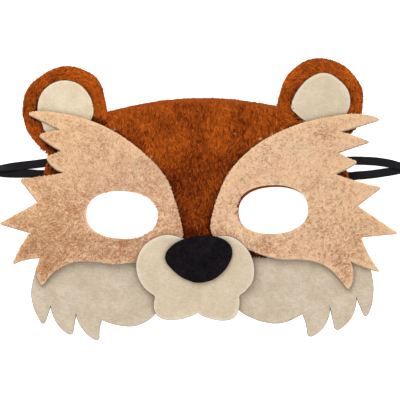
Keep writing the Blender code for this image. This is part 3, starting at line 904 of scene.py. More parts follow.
@dataclass
class Panel:
    """One flat layer of the mask, remade finely from its solid.

    Attributes:
        form: the solid's form.
        finish: the felt or the plush's ground.
        rests_on: what it lies on; not used.
        step: the distance between the points of its mesh.
        edge_drop: how far the rim of its upper face is rounded down.
        flare: how far its lower rim stands out past its upper rim.
        lean: how far its outer lower rim is moved across and up, because it was cut at a slant.
        hole_flare: how far a hole's lower rim stands out past its upper rim.
        wave: the height of its gentle unevenness.
        seed: the number that its random values start from.
        blunt: how many times its points are rounded off.
        covers: the pieces that lie on it.
        rim_glow: how much lighter its rim is painted, as a highlight.
        crease: a pressed line: where it is across, its lower and its upper end.
        crease_depth: how deep it is pressed.
        crease_half: how far it reaches to each side.
        crease_hollow: how much painted shade lies in it, from 0 to 1.
        hollow_reach: how far from a covering piece's edge its painted shade reaches.
        worn_reach: how far in its painted rim highlight reaches.
        waves: how broad its broad and its narrow unevenness are.
        least_wall: the thinnest that it gets, as a share of its wall.
        corner: the turn from which an edge of it looks sharp.
    """

    form: PanelForm
    finish: FeltFinish
    rests_on: tuple[str, ...]
    step: float = 1.5 * MM
    edge_drop: float = 0.35 * MM
    flare: float = 0.35 * MM
    lean: tuple[float, float] = (0.0, 0.0)
    hole_flare: float = 0.35 * MM
    wave: float = 0.12 * MM
    seed: int = 1
    blunt: int = 1
    covers: tuple[PanelForm, ...] = ()
    rim_glow: float = 0.0
    crease: tuple[float, float, float] | None = None
    crease_depth: float = 0.18 * MM
    crease_half: float = 0.8 * MM
    crease_hollow: float = 0.22
    hollow_reach: float = 1.1 * MM
    worn_reach: float = 0.7 * MM
    waves: tuple[float, float] = (14 * MM, 5 * MM)
    least_wall: float = 0.6
    corner: float = math.radians(50)

    def sheet(self) -> tuple[np.ndarray, np.ndarray, list[np.ndarray]]:
        """Fills the outline with small triangles.

        Returns:
            The places in the plane, the triangles, and the numbers of each rim's places in order.
        """
        rim_share, clear_share, touching = 0.7, 0.6, 1e-8
        loops = [smooth_loop(loop, self.step * rim_share) for loop in self.form.loops]
        loops[0] = blunted(loops[0], self.blunt)
        low, high = loops[0].min(axis=0), loops[0].max(axis=0)
        columns = np.arange(low[0], high[0], self.step)
        rows = np.arange(low[1], high[1], self.step * math.sqrt(3) / 2)
        grid_x, grid_y = np.meshgrid(columns, rows)
        grid_x = grid_x + (np.arange(len(rows)) % 2)[:, None] * self.step / 2
        filling = np.column_stack([grid_x.ravel(), grid_y.ravel()])
        keep = in_batches(inside, filling, loops[0])
        for hole in loops[1:]:
            keep &= ~in_batches(inside, filling, hole)
        for loop in loops:
            keep[keep] &= in_batches(to_loop, filling[keep], loop) > clear_share * self.step
        rims, edges, first = [], [], 0
        for loop in loops:
            numbers = np.arange(first, first + len(loop))
            rims.append(numbers)
            edges += list(zip(numbers.tolist(), np.roll(numbers, -1).tolist()))
            first += len(loop)
        places = np.vstack([*loops, filling[keep]])
        made = delaunay_2d_cdt([Vector(p) for p in places], edges, [], 0, touching)
        places = np.array([tuple(p) for p in made[0]])
        faces = np.array([tuple(f) for f in made[2]])
        middles = places[faces].mean(axis=1)
        kept = in_batches(inside, middles, loops[0])
        for hole in loops[1:]:
            kept &= ~in_batches(inside, middles, hole)
        return places, faces[kept], rims

    def settle(self, heights: np.ndarray, faces: np.ndarray, rounds: int = 12) -> np.ndarray:
        """Evens out the heights, so that the solid's facets don't show.

        Args:
            heights: the height of each place.
            faces: the triangles between them.
            rounds: how often each place moves halfway to its neighbours.

        Returns:
            The smoother heights.
        """
        ends = np.vstack([faces[:, [0, 1]], faces[:, [1, 2]], faces[:, [2, 0]]])
        count = np.bincount(ends[:, 0], minlength=len(heights)) + np.bincount(
            ends[:, 1], minlength=len(heights)
        )
        for _ in range(rounds):
            total = np.bincount(ends[:, 0], heights[ends[:, 1]], len(heights)) + np.bincount(
                ends[:, 1], heights[ends[:, 0]], len(heights)
            )
            heights = 0.5 * heights + 0.5 * total / np.maximum(count, 1)
        return heights

    def near_covers(self, places: np.ndarray) -> np.ndarray:
        """How close each place is to the edge of a piece that lies on the panel, where painted
        shade goes.

        Args:
            places: points in the plane.

        Returns:
            1 at such an edge, falling to 0 a few millimetres away.
        """
        near = np.zeros(len(places))
        for cover in self.covers:
            for loop in cover.loops:
                distance = in_batches(to_loop, places, loop)
                near = np.maximum(near, np.exp(-distance / self.hollow_reach))
        return near

    def walls(
        self, places: np.ndarray, rims: list[np.ndarray]
    ) -> tuple[np.ndarray, np.ndarray]:
        """Joins the upper face to the lower one round each rim.

        Args:
            places: the upper face's places in the plane.
            rims: the numbers of each rim's places in order.

        Returns:
            The lower face's places, and the walls' triangles. The lower face's numbers follow
            the upper one's.
        """
        low_places, count, triangles = places.copy(), len(places), []
        for index, rim in enumerate(rims):
            lean, flare = 0.0, self.hole_flare
            if index == 0:
                lean, flare = np.array(self.lean), self.flare
            onward = np.roll(places[rim], -1, axis=0) - np.roll(places[rim], 1, axis=0)
            length = np.maximum(np.linalg.norm(onward, axis=1), 1e-9)[:, None]
            outward = np.column_stack([onward[:, 1], -onward[:, 0]]) / length
            low_places[rim] += outward * flare + lean
            one, two = rim, np.roll(rim, -1)
            triangles.append(np.column_stack([one, one + count, two + count]))
            triangles.append(np.column_stack([one, two + count, two]))
        return low_places, np.vstack(triangles)

    def build(self) -> bpy.types.Object:
        """Makes the panel, which replaces its solid.

        Returns:
            The panel.
        """
        places, faces, rims = self.sheet()
        heights = self.settle(self.form.heights(places), faces)
        broad, narrow = self.waves
        unevenness = self.wave * (
            patchy(places, broad, self.seed) + 0.5 * patchy(places, narrow, self.seed + 1)
        )
        lower = np.maximum(heights - self.form.wall, 0.0)
        upper = np.maximum(heights + unevenness, lower + self.least_wall * self.form.wall)
        upper[np.concatenate(rims)] -= self.edge_drop
        # Painted shade beside the pieces that lie on it.
        hollow = self.near_covers(places)
        if self.crease:
            across, low_end, high_end = self.crease
            pressed = np.exp(-(((places[:, 0] - across) / self.crease_half) ** 2))
            pressed *= (places[:, 1] > low_end) & (places[:, 1] < high_end)
            upper -= self.crease_depth * pressed
            # Painted shade in the pressed line.
            hollow = np.maximum(hollow, self.crease_hollow * pressed)
        # Painted highlight along the outer rim.
        worn = np.zeros(len(places))
        if self.rim_glow:
            from_rim = in_batches(to_loop, places, self.form.loops[0])
            worn = self.rim_glow * np.exp(-from_rim / self.worn_reach)
        low_places, walls = self.walls(places, rims)
        corners = np.vstack(
            [np.column_stack([places, upper]), np.column_stack([low_places, lower])]
        )
        all_faces = np.vstack([faces, faces[:, ::-1] + len(places), walls])
        values = {"hollow": np.tile(hollow, 2), "rim": np.tile(worn, 2)}
        piece = new_piece(f"{self.form.name}_fabric", corners, all_faces, self.finish, values)
        piece.data.set_sharp_from_angle(angle=self.corner)
        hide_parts(self.form.name)
        self.form.area()
        log.info("%s: %d faces, wall %.2f mm", piece.name, len(all_faces), self.form.wall / MM)
        return piece


# Where the locks of a pile stand and how they lie, in metres and radians.
RIM_INSET = 0.25 * MM
COVER_INSET = 0.9 * MM
EAR_TURN = 1.85
EAR_FOOT = 20 * MM
EAR_FOOT_HEIGHT = 12 * MM
BROAD_PATCH = 16 * MM
BROAD_FLOW = 1.6
CLUMP_FLOW = 1.4
LOCK_STRAY = 0.3

# The locks that stand out past the rim: lengths in metres, angles in radians, the rest as shares.
FRINGE_INSET = 0.5 * MM
FRINGE_COVER_INSET = 0.2 * MM
FRINGE_PATCH = 5 * MM
FRINGE_THINNEST = -0.35
FRINGE_STRAY = 0.6
FRINGE_LENGTHS = (0.7, 1.2)
FRINGE_LIFTS = (0.1, 0.4)
FRINGE_TONE = 0.15

# What makes a place of the pile lighter or darker, with a painted highlight along its rim and
# painted shade beside the pieces on it: lengths in metres, and shares of the tone.
TONE_PATCH = 12 * MM
CLUMP_SHARE = 0.6
GRAIN_SIZE = 0.85 * MM
RIM_REACH = 0.9 * MM
COVER_REACH = 0.9 * MM
COVER_SHADE = 0.4
SHADOW_REACH = 0.7 * MM
PAST_EAR = 4 * MM
EAR_FADE = 6 * MM
LOW_START = 30 * MM
LOW_HEIGHT = 60 * MM

# How the locks and their strands vary, and how deep they are rooted.
LOCK_LENGTHS = (0.7, 1.3)
RIM_LENGTH = 0.55
FULL_LENGTH_FROM = 3 * MM
LIFT_STRAY = 0.12
LIFT_LIMITS = (0.1, 0.95)
ROOT_DEPTH = 0.25 * MM
RIM_DEPTH = 0.3 * MM
RIM_DEPTH_WITHIN = 1.0 * MM
TIPS_TOGETHER = 5
LEAST_RISE = 0.15 * MM
STRAND_STRAY = 0.3
STRAND_TILT = 0.35
STRAND_WIDTHS = (0.7, 1.3)
STRAND_TONE = 0.12


@dataclass(frozen=True)
class Smudge:
    """A patch of pile that is brushed darker.

    Attributes:
        across: where its middle is.
        up: where its middle is.
        half_width: how far it reaches to each side.
        half_height: how far it reaches up and down.
        depth: how much darker its middle is.
    """

    across: float
    up: float
    half_width: float
    half_height: float
    depth: float


@dataclass
class Pile:
    """The pile of a short plush, in locks whose strands lean together, on what shows of its panel.

    Attributes:
        form: the panel's form.
        finish: the strands' colours.
        covers: the pieces that lie on it and hide it.
        locks: how many locks there are.
        strands: how many strands each lock has.
        length: how long a lock is.
        width: how broad a strand's root is.
        spread: how far from a lock's middle its roots stand.
        lift: how steeply it stands, from 0, lying flat, to 1, upright.
        nap: which way it is brushed.
        seed: the number that its random values start from.
        clump: how broad the patches are in which it is brushed alike.
        contrast: how far the locks' tones differ.
        tone: the middle tone, from 0, dark, to 1, light.
        ears: the middles of the ears, which the nap runs round.
        ear_reach: how far from an ear's middle that holds.
        flow: how far the brushing strays.
        middle: where an outward nap starts.
        hole_margin: how far from a hole it starts.
        fringe: how many locks there are to a metre of its rim.
        fringe_length: how long those are, as a share of the others.
        low_tone: how much darker it is at the middle's lower end.
        slope: how much lighter it grows for each metre across and up.
        smudges: patches that are brushed darker.
        patches: how far the tone differs from one broad patch to the next.
        grain: how far the tone differs from one small tuft to the next.
        rim_tone: how much lighter it is painted along its own rim, as a highlight.
        ear_tone: how much lighter it is on the ears.
        shadow: how dark it is against the edge of a piece that lies on it.
        warm_from: how far from its middle it starts to turn to the finish's warmer colour.
        warm_reach: over what distance it turns, or 0 where it doesn't.
        evenness: how far a strand is shaded as the pile's surface is, from 0 to 1, because light
            passes through real strands.
    """

    form: PanelForm
    finish: PileFinish
    covers: tuple[PanelForm, ...]
    locks: int
    strands: int
    length: float
    width: float
    spread: float
    lift: float
    nap: Nap
    seed: int
    clump: float = 4.0 * MM
    contrast: float = 0.2
    tone: float = 0.5
    ears: tuple[tuple[float, float], ...] = ()
    ear_reach: float = 25 * MM
    flow: float = 0.34
    middle: tuple[float, float] = (0.0, 0.0)
    hole_margin: float = 0.0
    fringe: float = 0.0
    fringe_length: float = 0.9
    low_tone: float = 0.0
    slope: tuple[float, float] = (0.0, 0.0)
    smudges: tuple[Smudge, ...] = ()
    patches: float = 0.10
    grain: float = 0.12
    rim_tone: float = 0.0
    ear_tone: float = 0.19
    shadow: float = 0.0
    warm_from: float = 25 * MM
    warm_reach: float = 0.0
    evenness: float = 0.7

    def roots(self) -> np.ndarray:
        """Scatters the locks over what shows of the panel.

        Returns:
            The places of their middles in the plane.
        """
        random = np.random.default_rng(self.seed)
        low, high = self.form.loops[0].min(axis=0), self.form.loops[0].max(axis=0)
        found = np.empty((0, 2))
        while len(found) < self.locks:
            places = random.uniform(low, high, (self.locks, 2))
            places = places[self.form.holds(places, inset=RIM_INSET)]
            for cover in self.covers:
                places = places[~cover.holds(places, inset=COVER_INSET)]
            if self.hole_margin:
                for hole in self.form.loops[1:]:
                    places = places[in_batches(to_loop, places, hole) > self.hole_margin]
            found = np.vstack([found, places])
        return found[: self.locks]

    def brushed(self, roots: np.ndarray) -> np.ndarray:
        """The direction in the plane in which each lock lies.

        Args:
            roots: the places of the locks.

        Returns:
            An angle for each lock.
        """
        random = np.random.default_rng(self.seed + 7)
        if self.nap is Nap.OUTWARD:
            away = roots - np.array(self.middle)
            angle = np.arctan2(away[:, 1], away[:, 0])
        else:
            angle = np.full(len(roots), -math.pi / 2)
        for index, ear in enumerate(self.ears):
            away = roots - np.array(ear)
            near = np.linalg.norm(away, axis=1) < self.ear_reach
            turn = 1 if index == 0 else -1
            round_ear = np.arctan2(away[near, 1], away[near, 0]) + turn * EAR_TURN
            share = np.clip((away[near, 1] + EAR_FOOT) / EAR_FOOT_HEIGHT, 0.0, 1.0)
            angle[near] += share * (round_ear - angle[near])
        angle = angle + self.flow * BROAD_FLOW * patchy(roots, BROAD_PATCH, self.seed + 1)
        angle = angle + self.flow * CLUMP_FLOW * patchy(roots, self.clump, self.seed + 2)
        return angle + random.normal(0.0, LOCK_STRAY, len(roots))

    def rim_locks(self) -> tuple[np.ndarray, np.ndarray]:
        """The locks that stand out past the panel's rim.

        Returns:
            Their places and their directions.
        """
        random = np.random.default_rng(self.seed + 17)
        loop = self.form.loops[0]
        way = np.roll(loop, -1, axis=0) - loop
        length = np.linalg.norm(way, axis=1)
        along = np.cumsum(length)
        count = int(self.fringe * along[-1])
        where = np.sort(random.uniform(0.0, along[-1], count))
        index = np.searchsorted(along, where).clip(0, len(loop) - 1)
        share = (1 - (along[index] - where) / np.maximum(length[index], 1e-9))[:, None]
        outward = np.column_stack([way[index, 1], -way[index, 0]]) / length[index][:, None]
        places = loop[index] + share * way[index] - outward * FRINGE_INSET
        kept = patchy(places, FRINGE_PATCH, self.seed + 18) > FRINGE_THINNEST
        for cover in self.covers:
            kept &= ~cover.holds(places, inset=FRINGE_COVER_INSET)
        angle = np.arctan2(outward[:, 1], outward[:, 0])
        angle += random.normal(0.0, FRINGE_STRAY, count)
        return places[kept], angle[kept]

    def shade(self, roots: np.ndarray) -> np.ndarray:
        """How much lighter or darker than the middle tone each place is.

        Args:
            roots: the places of the locks.

        Returns:
            What to add to the tone.
        """
        across, up = roots[:, 0], roots[:, 1]
        shade = self.patches * patchy(roots, TONE_PATCH, self.seed + 4)
        shade += CLUMP_SHARE * self.patches * patchy(roots, self.clump, self.seed + 5)
        shade += self.grain * patchy(roots, GRAIN_SIZE, self.seed + 6)
        # Painted highlight along its own rim.
        rim = in_batches(to_loop, roots, self.form.loops[0])
        shade += self.rim_tone * np.exp(-rim / RIM_REACH)
        for ear in self.ears:
            far = np.linalg.norm(roots - np.array(ear), axis=1)
            on_ear = np.clip((self.ear_reach + PAST_EAR - far) / EAR_FADE, 0.0, 1.0)
            shade += self.ear_tone * on_ear
        # Painted shade beside the pieces that lie on it.
        if self.covers:
            near = [in_batches(to_loop, roots, cover.loops[0]) for cover in self.covers]
            shade -= COVER_SHADE * np.exp(-np.min(near, axis=0) / COVER_REACH)
        if self.low_tone:
            shade -= self.low_tone * np.clip((LOW_START - up) / LOW_HEIGHT, 0.0, 1.0)
        shade += across * self.slope[0] + up * self.slope[1]
        for smudge in self.smudges:
            far = np.hypot(
                (across - smudge.across) / smudge.half_width,
                (up - smudge.up) / smudge.half_height,
            )
            shade -= smudge.depth * np.exp(-far * far)
        return shade

    def tinted(self, roots: np.ndarray) -> np.ndarray:
        """How far each place is turned to the finish's colour for shadow and warmth: a painted
        shadow beside the pieces that lie on it, and a warmer colour far from its middle.

        Args:
            roots: the places of the locks.

        Returns:
            From 0, not at all, to 1, wholly.
        """
        tint = np.zeros(len(roots))
        # Painted shadow against the edge of each piece that lies on it.
        if self.shadow:
            for cover in self.covers:
                near = np.exp(-in_batches(to_loop, roots, cover.loops[0]) / SHADOW_REACH)
                tint = np.maximum(tint, self.shadow * near)
        if self.warm_reach:
            far = np.linalg.norm(roots - np.array(self.middle), axis=1)
            tint = np.maximum(tint, np.clip((far - self.warm_from) / self.warm_reach, 0.0, 1.0))
        return tint

    def build(self) -> bpy.types.Object:
        """Makes the strands as narrow pointed blades.

        Returns:
            The strands, as one piece.
        """
        random = np.random.default_rng(self.seed + 11)
        roots = self.roots()
        angle = self.brushed(roots)
        rise = self.form.heights(roots)
        reach = self.length * random.uniform(*LOCK_LENGTHS, len(roots))
        edge = in_batches(to_loop, roots, self.form.loops[0])
        reach *= RIM_LENGTH + (1 - RIM_LENGTH) * np.clip(edge / FULL_LENGTH_FROM, 0.0, 1.0)
        lift = np.clip(self.lift + random.normal(0, LIFT_STRAY, len(roots)), *LIFT_LIMITS)
        if self.fringe:
            more, their_angle = self.rim_locks()
            roots, angle = np.vstack([roots, more]), np.concatenate([angle, their_angle])
            rise = np.concatenate([rise, self.form.heights(more)])
            short = self.length * self.fringe_length
            reach = np.concatenate([reach, short * random.uniform(*FRINGE_LENGTHS, len(more))])
            lift = np.concatenate([lift, random.uniform(*FRINGE_LIFTS, len(more))])
        count = len(roots)
        tone = self.tone + self.shade(roots) + random.normal(0, self.contrast, count)
        if self.fringe:
            tone[-len(more) :] += FRINGE_TONE
        tint = self.tinted(roots)
        rim = np.min([in_batches(to_loop, roots, loop) for loop in self.form.loops], axis=0)
        rise = rise - ROOT_DEPTH - RIM_DEPTH * np.clip(1 - rim / RIM_DEPTH_WITHIN, 0.0, 1.0)
        flat = np.sqrt(1 - lift * lift)
        way = np.column_stack([np.cos(angle) * flat, np.sin(angle) * flat, lift])
        lock_tip = np.column_stack([roots, rise]) + way * reach[:, None]
        each = np.repeat(np.arange(count), self.strands)
        total = len(each)
        start = np.column_stack([roots, rise])[each]
        start[:, :2] += random.normal(0.0, self.spread / 2, (total, 2))
        tip = lock_tip[each] + random.normal(0.0, self.spread / TIPS_TOGETHER, (total, 3))
        tip[:, 2] = np.maximum(tip[:, 2], start[:, 2] + LEAST_RISE)
        bearing = angle[each] + random.normal(0.0, STRAND_STRAY, total)
        tilt = random.normal(0, STRAND_TILT, total)
        aside = np.column_stack([-np.sin(bearing), np.cos(bearing), tilt])
        aside /= np.linalg.norm(aside, axis=1)[:, None]
        half = aside * (self.width / 2) * random.uniform(*STRAND_WIDTHS, total)[:, None]
        facing = np.cross(half, tip - start)
        half[facing[:, 2] < 0] *= -1
        facing[facing[:, 2] < 0] *= -1
        facing /= np.maximum(np.linalg.norm(facing, axis=1), 1e-12)[:, None]
        facing = facing * (1 - self.evenness) + np.array((0.0, 0.0, self.evenness))
        facing /= np.linalg.norm(facing, axis=1)[:, None]
        corners = np.empty((total * 3, 3))
        corners[0::3], corners[1::3], corners[2::3] = start - half, start + half, tip
        tones = np.clip(tone[each] + random.normal(0, STRAND_TONE, total), 0, 1)
        along = np.zeros(total * 3)
        along[2::3] = 1.0
        faces = np.arange(total * 3).reshape(-1, 3)
        name = f"{self.form.name}_pile"
        values = {"tone": np.repeat(tones, 3), "along": along, "tint": np.repeat(tint[each], 3)}
        piece = new_piece(name, corners, faces, self.finish, values, np.repeat(facing, 3, axis=0))
        log.info("%s: %d strands in %d locks", name, total, count)
        return piece


@dataclass(frozen=True)
class Tuft:
    """A few strands that have worked loose.

    Attributes:
        on: the panel that they lie on.
        across: where they start, in millimetres.
        up: where they start, in millimetres.
        heading: which way they point, in degrees.
        strands: how many there are.
    """

    on: str
    across: float
    up: float
    heading: float
    strands: int


@dataclass
class StrayTufts:
    """Loose strands at the plush's cut edges.

    Attributes:
        forms: the panels' forms by name.
        finish: the strands' colours.
        length: how long a strand is.
        width: how broad it is.
        bends: how many straight parts it is made of.
        scatter: how far apart a tuft's strands start.
        stray: how far apart they point, in radians.
        curl: how far a strand turns at each bend, in radians.
        lengths: the shortest and the longest, as shares of the length.
        climb: how steeply it starts.
        taper: how much narrower its tip is than its root.
        tone: how light it is, from 0 to 1.
        over_pile: how far above a plush panel's solid it starts.
        over_felt: how far above a felt panel's solid it starts.
        seed: the number that its random values start from.
        tufts: where they are.
    """

    forms: dict[str, PanelForm]
    finish: PileFinish
    length: float = 1.9 * MM
    width: float = 0.22 * MM
    bends: int = 5
    scatter: float = 0.22 * MM
    stray: float = 0.5
    curl: float = 0.35
    lengths: tuple[float, float] = (0.6, 1.2)
    climb: float = 0.3
    taper: float = 0.7
    tone: float = 0.55
    over_pile: float = 0.9 * MM
    over_felt: float = 0.15 * MM
    seed: int = 90
    tufts: tuple[Tuft, ...] = (
        Tuft("head_panel", 35.6, 34.3, 155, 7),
        Tuft("head_panel", 20.9, 36.9, 200, 3),
        Tuft("head_panel", 59.4, 44.2, 95, 3),
        Tuft("head_panel", 42.0, 36.6, 120, 3),
        Tuft("head_panel", 48.6, 39.2, 125, 3),
        Tuft("head_panel", -48.7, 38.9, 80, 6),
        Tuft("head_panel", -27.6, 23.8, 75, 6),
        Tuft("jowl_right", 45.2, -33.2, -70, 5),
        Tuft("jowl_right", 39.5, -31.6, -110, 3),
        Tuft("jowl_left", -53.2, -35.8, -85, 4),
        Tuft("cheek_left", -93.4, 1.8, 200, 3),
    )

    def build(self) -> bpy.types.Object:
        """Makes the strands as narrow bent ribbons.

        Returns:
            The strands, as one piece.
        """
        random = np.random.default_rng(self.seed)
        corners, faces, first = [], [], 0
        for tuft in self.tufts:
            form = self.forms[tuft.on]
            above = self.over_felt if tuft.on.startswith("jowl") else self.over_pile
            middle = np.array([tuft.across, tuft.up]) * MM
            for _ in range(tuft.strands):
                place = middle + random.normal(0.0, self.scatter, 2)
                height = float(form.heights(place[None, :])[0]) + above
                turn = math.radians(tuft.heading) + random.normal(0.0, self.stray)
                curl = random.normal(0.0, self.curl)
                step = self.length * random.uniform(*self.lengths) / self.bends
                spine = [np.array([*place, height])]
                for bend in range(self.bends):
                    turn += curl
                    climb = self.climb * (1 - bend / 2) * step
                    ahead = np.array([math.cos(turn), math.sin(turn), 0.0]) * step
                    spine.append(spine[-1] + ahead)
                    spine[-1][2] += climb
                for index, point in enumerate(spine):
                    half = self.width / 2 * (1 - self.taper * index / self.bends)
                    aside = np.array([-math.sin(turn), math.cos(turn), 0.0]) * half
                    corners += [point - aside, point + aside]
                for index in range(self.bends):
                    low = first + 2 * index
                    faces += [(low, low + 2, low + 1), (low + 1, low + 2, low + 3)]
                first += 2 * (self.bends + 1)
        count = len(corners)
        values = {
            "tone": np.full(count, self.tone),
            "along": np.ones(count),
            "tint": np.zeros(count),
        }
        up = np.tile((0.0, 0.0, 1.0), (count, 1))
        return new_piece("stray_tufts", np.array(corners), np.array(faces), self.finish, values, up)


@dataclass
class ElasticStrap:
    """The flat elastic that goes round the wearer's head, lying slack.

    Attributes:
        head: the head panel's form, to whose back it is sewn.
        width: how broad the band is.
        thickness: how thick it is.
        length: its real length, end to end; not used.
        off_floor: how far above the floor it lies.
        gap: how far under the head panel's back it is sewn.
        step: the distance between its cross-sections.
        ring: how many corners a cross-section has.
        squareness: the power that makes an ellipse into its flat section.
        groove: how deep the grooves between its ribs are, as a share of its half thickness.
        grooves: how close together they are, in radians over its half width.
        route: its route in millimetres: across, up, how far it is held (0 on the floor, 1 sewn to
            the head panel's back), and its turn in degrees (90 where it stands on its edge).
    """

    head: PanelForm
    width: float = 4.9 * MM
    thickness: float = 0.9 * MM
    length: float = 0.336
    off_floor: float = 0.05 * MM
    gap: float = 0.3 * MM
    step: float = 0.8 * MM
    ring: int = 20
    squareness: float = 0.5
    groove: float = 0.10
    grooves: float = 9.0
    route: tuple[tuple[float, float, float, float], ...] = (
        (-77.5, 21.6, 1.00, 0),
        (-82.0, 21.4, 0.93, 0),
        (-87.0, 20.9, 0.50, 0),
        (-96.2, 19.8, 0.00, 0),
        (-104.5, 18.9, 0.00, 12),
        (-109.0, 18.3, 0.00, 28),
        (-113.3, 17.8, 0.00, 45),
        (-118.6, 17.8, 0.00, 75),
        (-122.6, 17.7, 0.00, 88),
        (-124.4, 16.0, 0.00, 90),
        (-122.4, 14.4, 0.00, 92),
        (-118.4, 14.3, 0.00, 105),
        (-113.3, 14.6, 0.00, 135),
        (-109.0, 14.6, 0.00, 152),
        (-104.5, 14.65, 0.00, 168),
        (-96.2, 14.7, 0.00, 180),
        (-87.6, 14.4, 0.00, 180),
        (-56.3, 15.4, 0.00, 180),
        (0.0, 15.3, 0.00, 180),
        (57.7, 14.2, 0.00, 180),
        (83.4, 13.2, 0.00, 180),
        (90.8, 13.6, 0.00, 180),
        (98.8, 14.3, 0.00, 180),
        (102.4, 14.8, 0.00, 176),
        (108.9, 15.7, 0.00, 163),
        (114.7, 16.3, 0.00, 135),
        (119.9, 16.4, 0.00, 105),
        (123.6, 16.6, 0.00, 92),
        (125.2, 18.0, 0.00, 90),
        (123.6, 19.5, 0.00, 88),
        (119.9, 19.2, 0.00, 62),
        (114.7, 19.1, 0.00, 25),
        (108.9, 20.5, 0.00, 10),
        (102.4, 21.5, 0.00, 3),
        (98.8, 21.8, 0.00, 0),
        (90.8, 22.1, 0.20, 0),
        (84.5, 21.9, 0.75, 0),
        (79.5, 21.7, 0.96, 0),
        (75.5, 21.6, 1.00, 0),
    )

    def path(self) -> tuple[np.ndarray, np.ndarray]:
        """The band's centreline and its turn at each place.

        Returns:
            The points, and the turns in radians.
        """
        stops = np.array(self.route, float)
        stops[:, :2] *= MM
        curve = smooth_curve(stops, self.step)
        held = np.clip(curve[:, 2], 0.0, 1.0)
        turn = np.radians(curve[:, 3])
        on_floor = (
            self.off_floor
            + np.abs(np.cos(turn)) * self.thickness / 2
            + np.abs(np.sin(turn)) * self.width / 2
        )
        sewn = self.head.heights(curve) - self.head.wall - self.gap - self.thickness / 2
        height = on_floor + held * (np.maximum(sewn, on_floor) - on_floor)
        return np.column_stack([curve[:, :2], height]), turn

    def build(self) -> bpy.types.Object:
        """Sweeps the band along its route.

        Returns:
            The band.
        """
        path, turn = self.path()
        way = np.gradient(path, axis=0)
        way /= np.linalg.norm(way, axis=1)[:, None]
        level = np.cross((0.0, 0.0, 1.0), way)
        level /= np.linalg.norm(level, axis=1)[:, None]
        upward = np.cross(way, level)
        broad = np.cos(turn)[:, None] * level + np.sin(turn)[:, None] * upward
        thin = np.cross(way, broad)
        ring = self.ring
        angle = math.tau * np.arange(ring) / ring
        across = np.sign(np.cos(angle)) * np.abs(np.cos(angle)) ** self.squareness
        through = np.sign(np.sin(angle)) * np.abs(np.sin(angle)) ** self.squareness
        through = through * (1 - self.groove * np.cos(across * self.grooves))
        corners = (
            path[:, None, :]
            + broad[:, None, :] * (across * self.width / 2)[None, :, None]
            + thin[:, None, :] * (through * self.thickness / 2)[None, :, None]
        )
        count = len(path)
        lengths = np.linalg.norm(np.diff(path, axis=0), axis=1)
        steps = np.concatenate([[0.0], np.cumsum(lengths)])
        numbers = np.arange(count * ring).reshape(count, ring)
        one, two = numbers[:-1], numbers[1:]
        sides = np.stack([one, np.roll(one, -1, 1), np.roll(two, -1, 1), two], axis=2)
        sides = sides.reshape(-1, 4)
        corners = np.vstack([corners.reshape(-1, 3), path[:1], path[-1:]])
        first, last = count * ring, count * ring + 1
        caps = [
            np.column_stack([np.full(ring, first), np.roll(numbers[0], -1), numbers[0]]),
            np.column_stack([np.full(ring, last), numbers[-1], np.roll(numbers[-1], -1)]),
        ]
        triangles = np.vstack([sides[:, [0, 1, 2]], sides[:, [0, 2, 3]], *caps])
        values = {
            "across": np.concatenate([np.tile(across, count), [0.0, 0.0]]),
            "along": np.concatenate([np.repeat(steps, ring), [0.0, steps[-1]]]),
        }
        piece = new_piece("elastic_band", corners, triangles, ELASTIC, values)
        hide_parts("elastic_strap")
        log.info("elastic_band: %.1f mm long", steps[-1] / MM)
        return piece


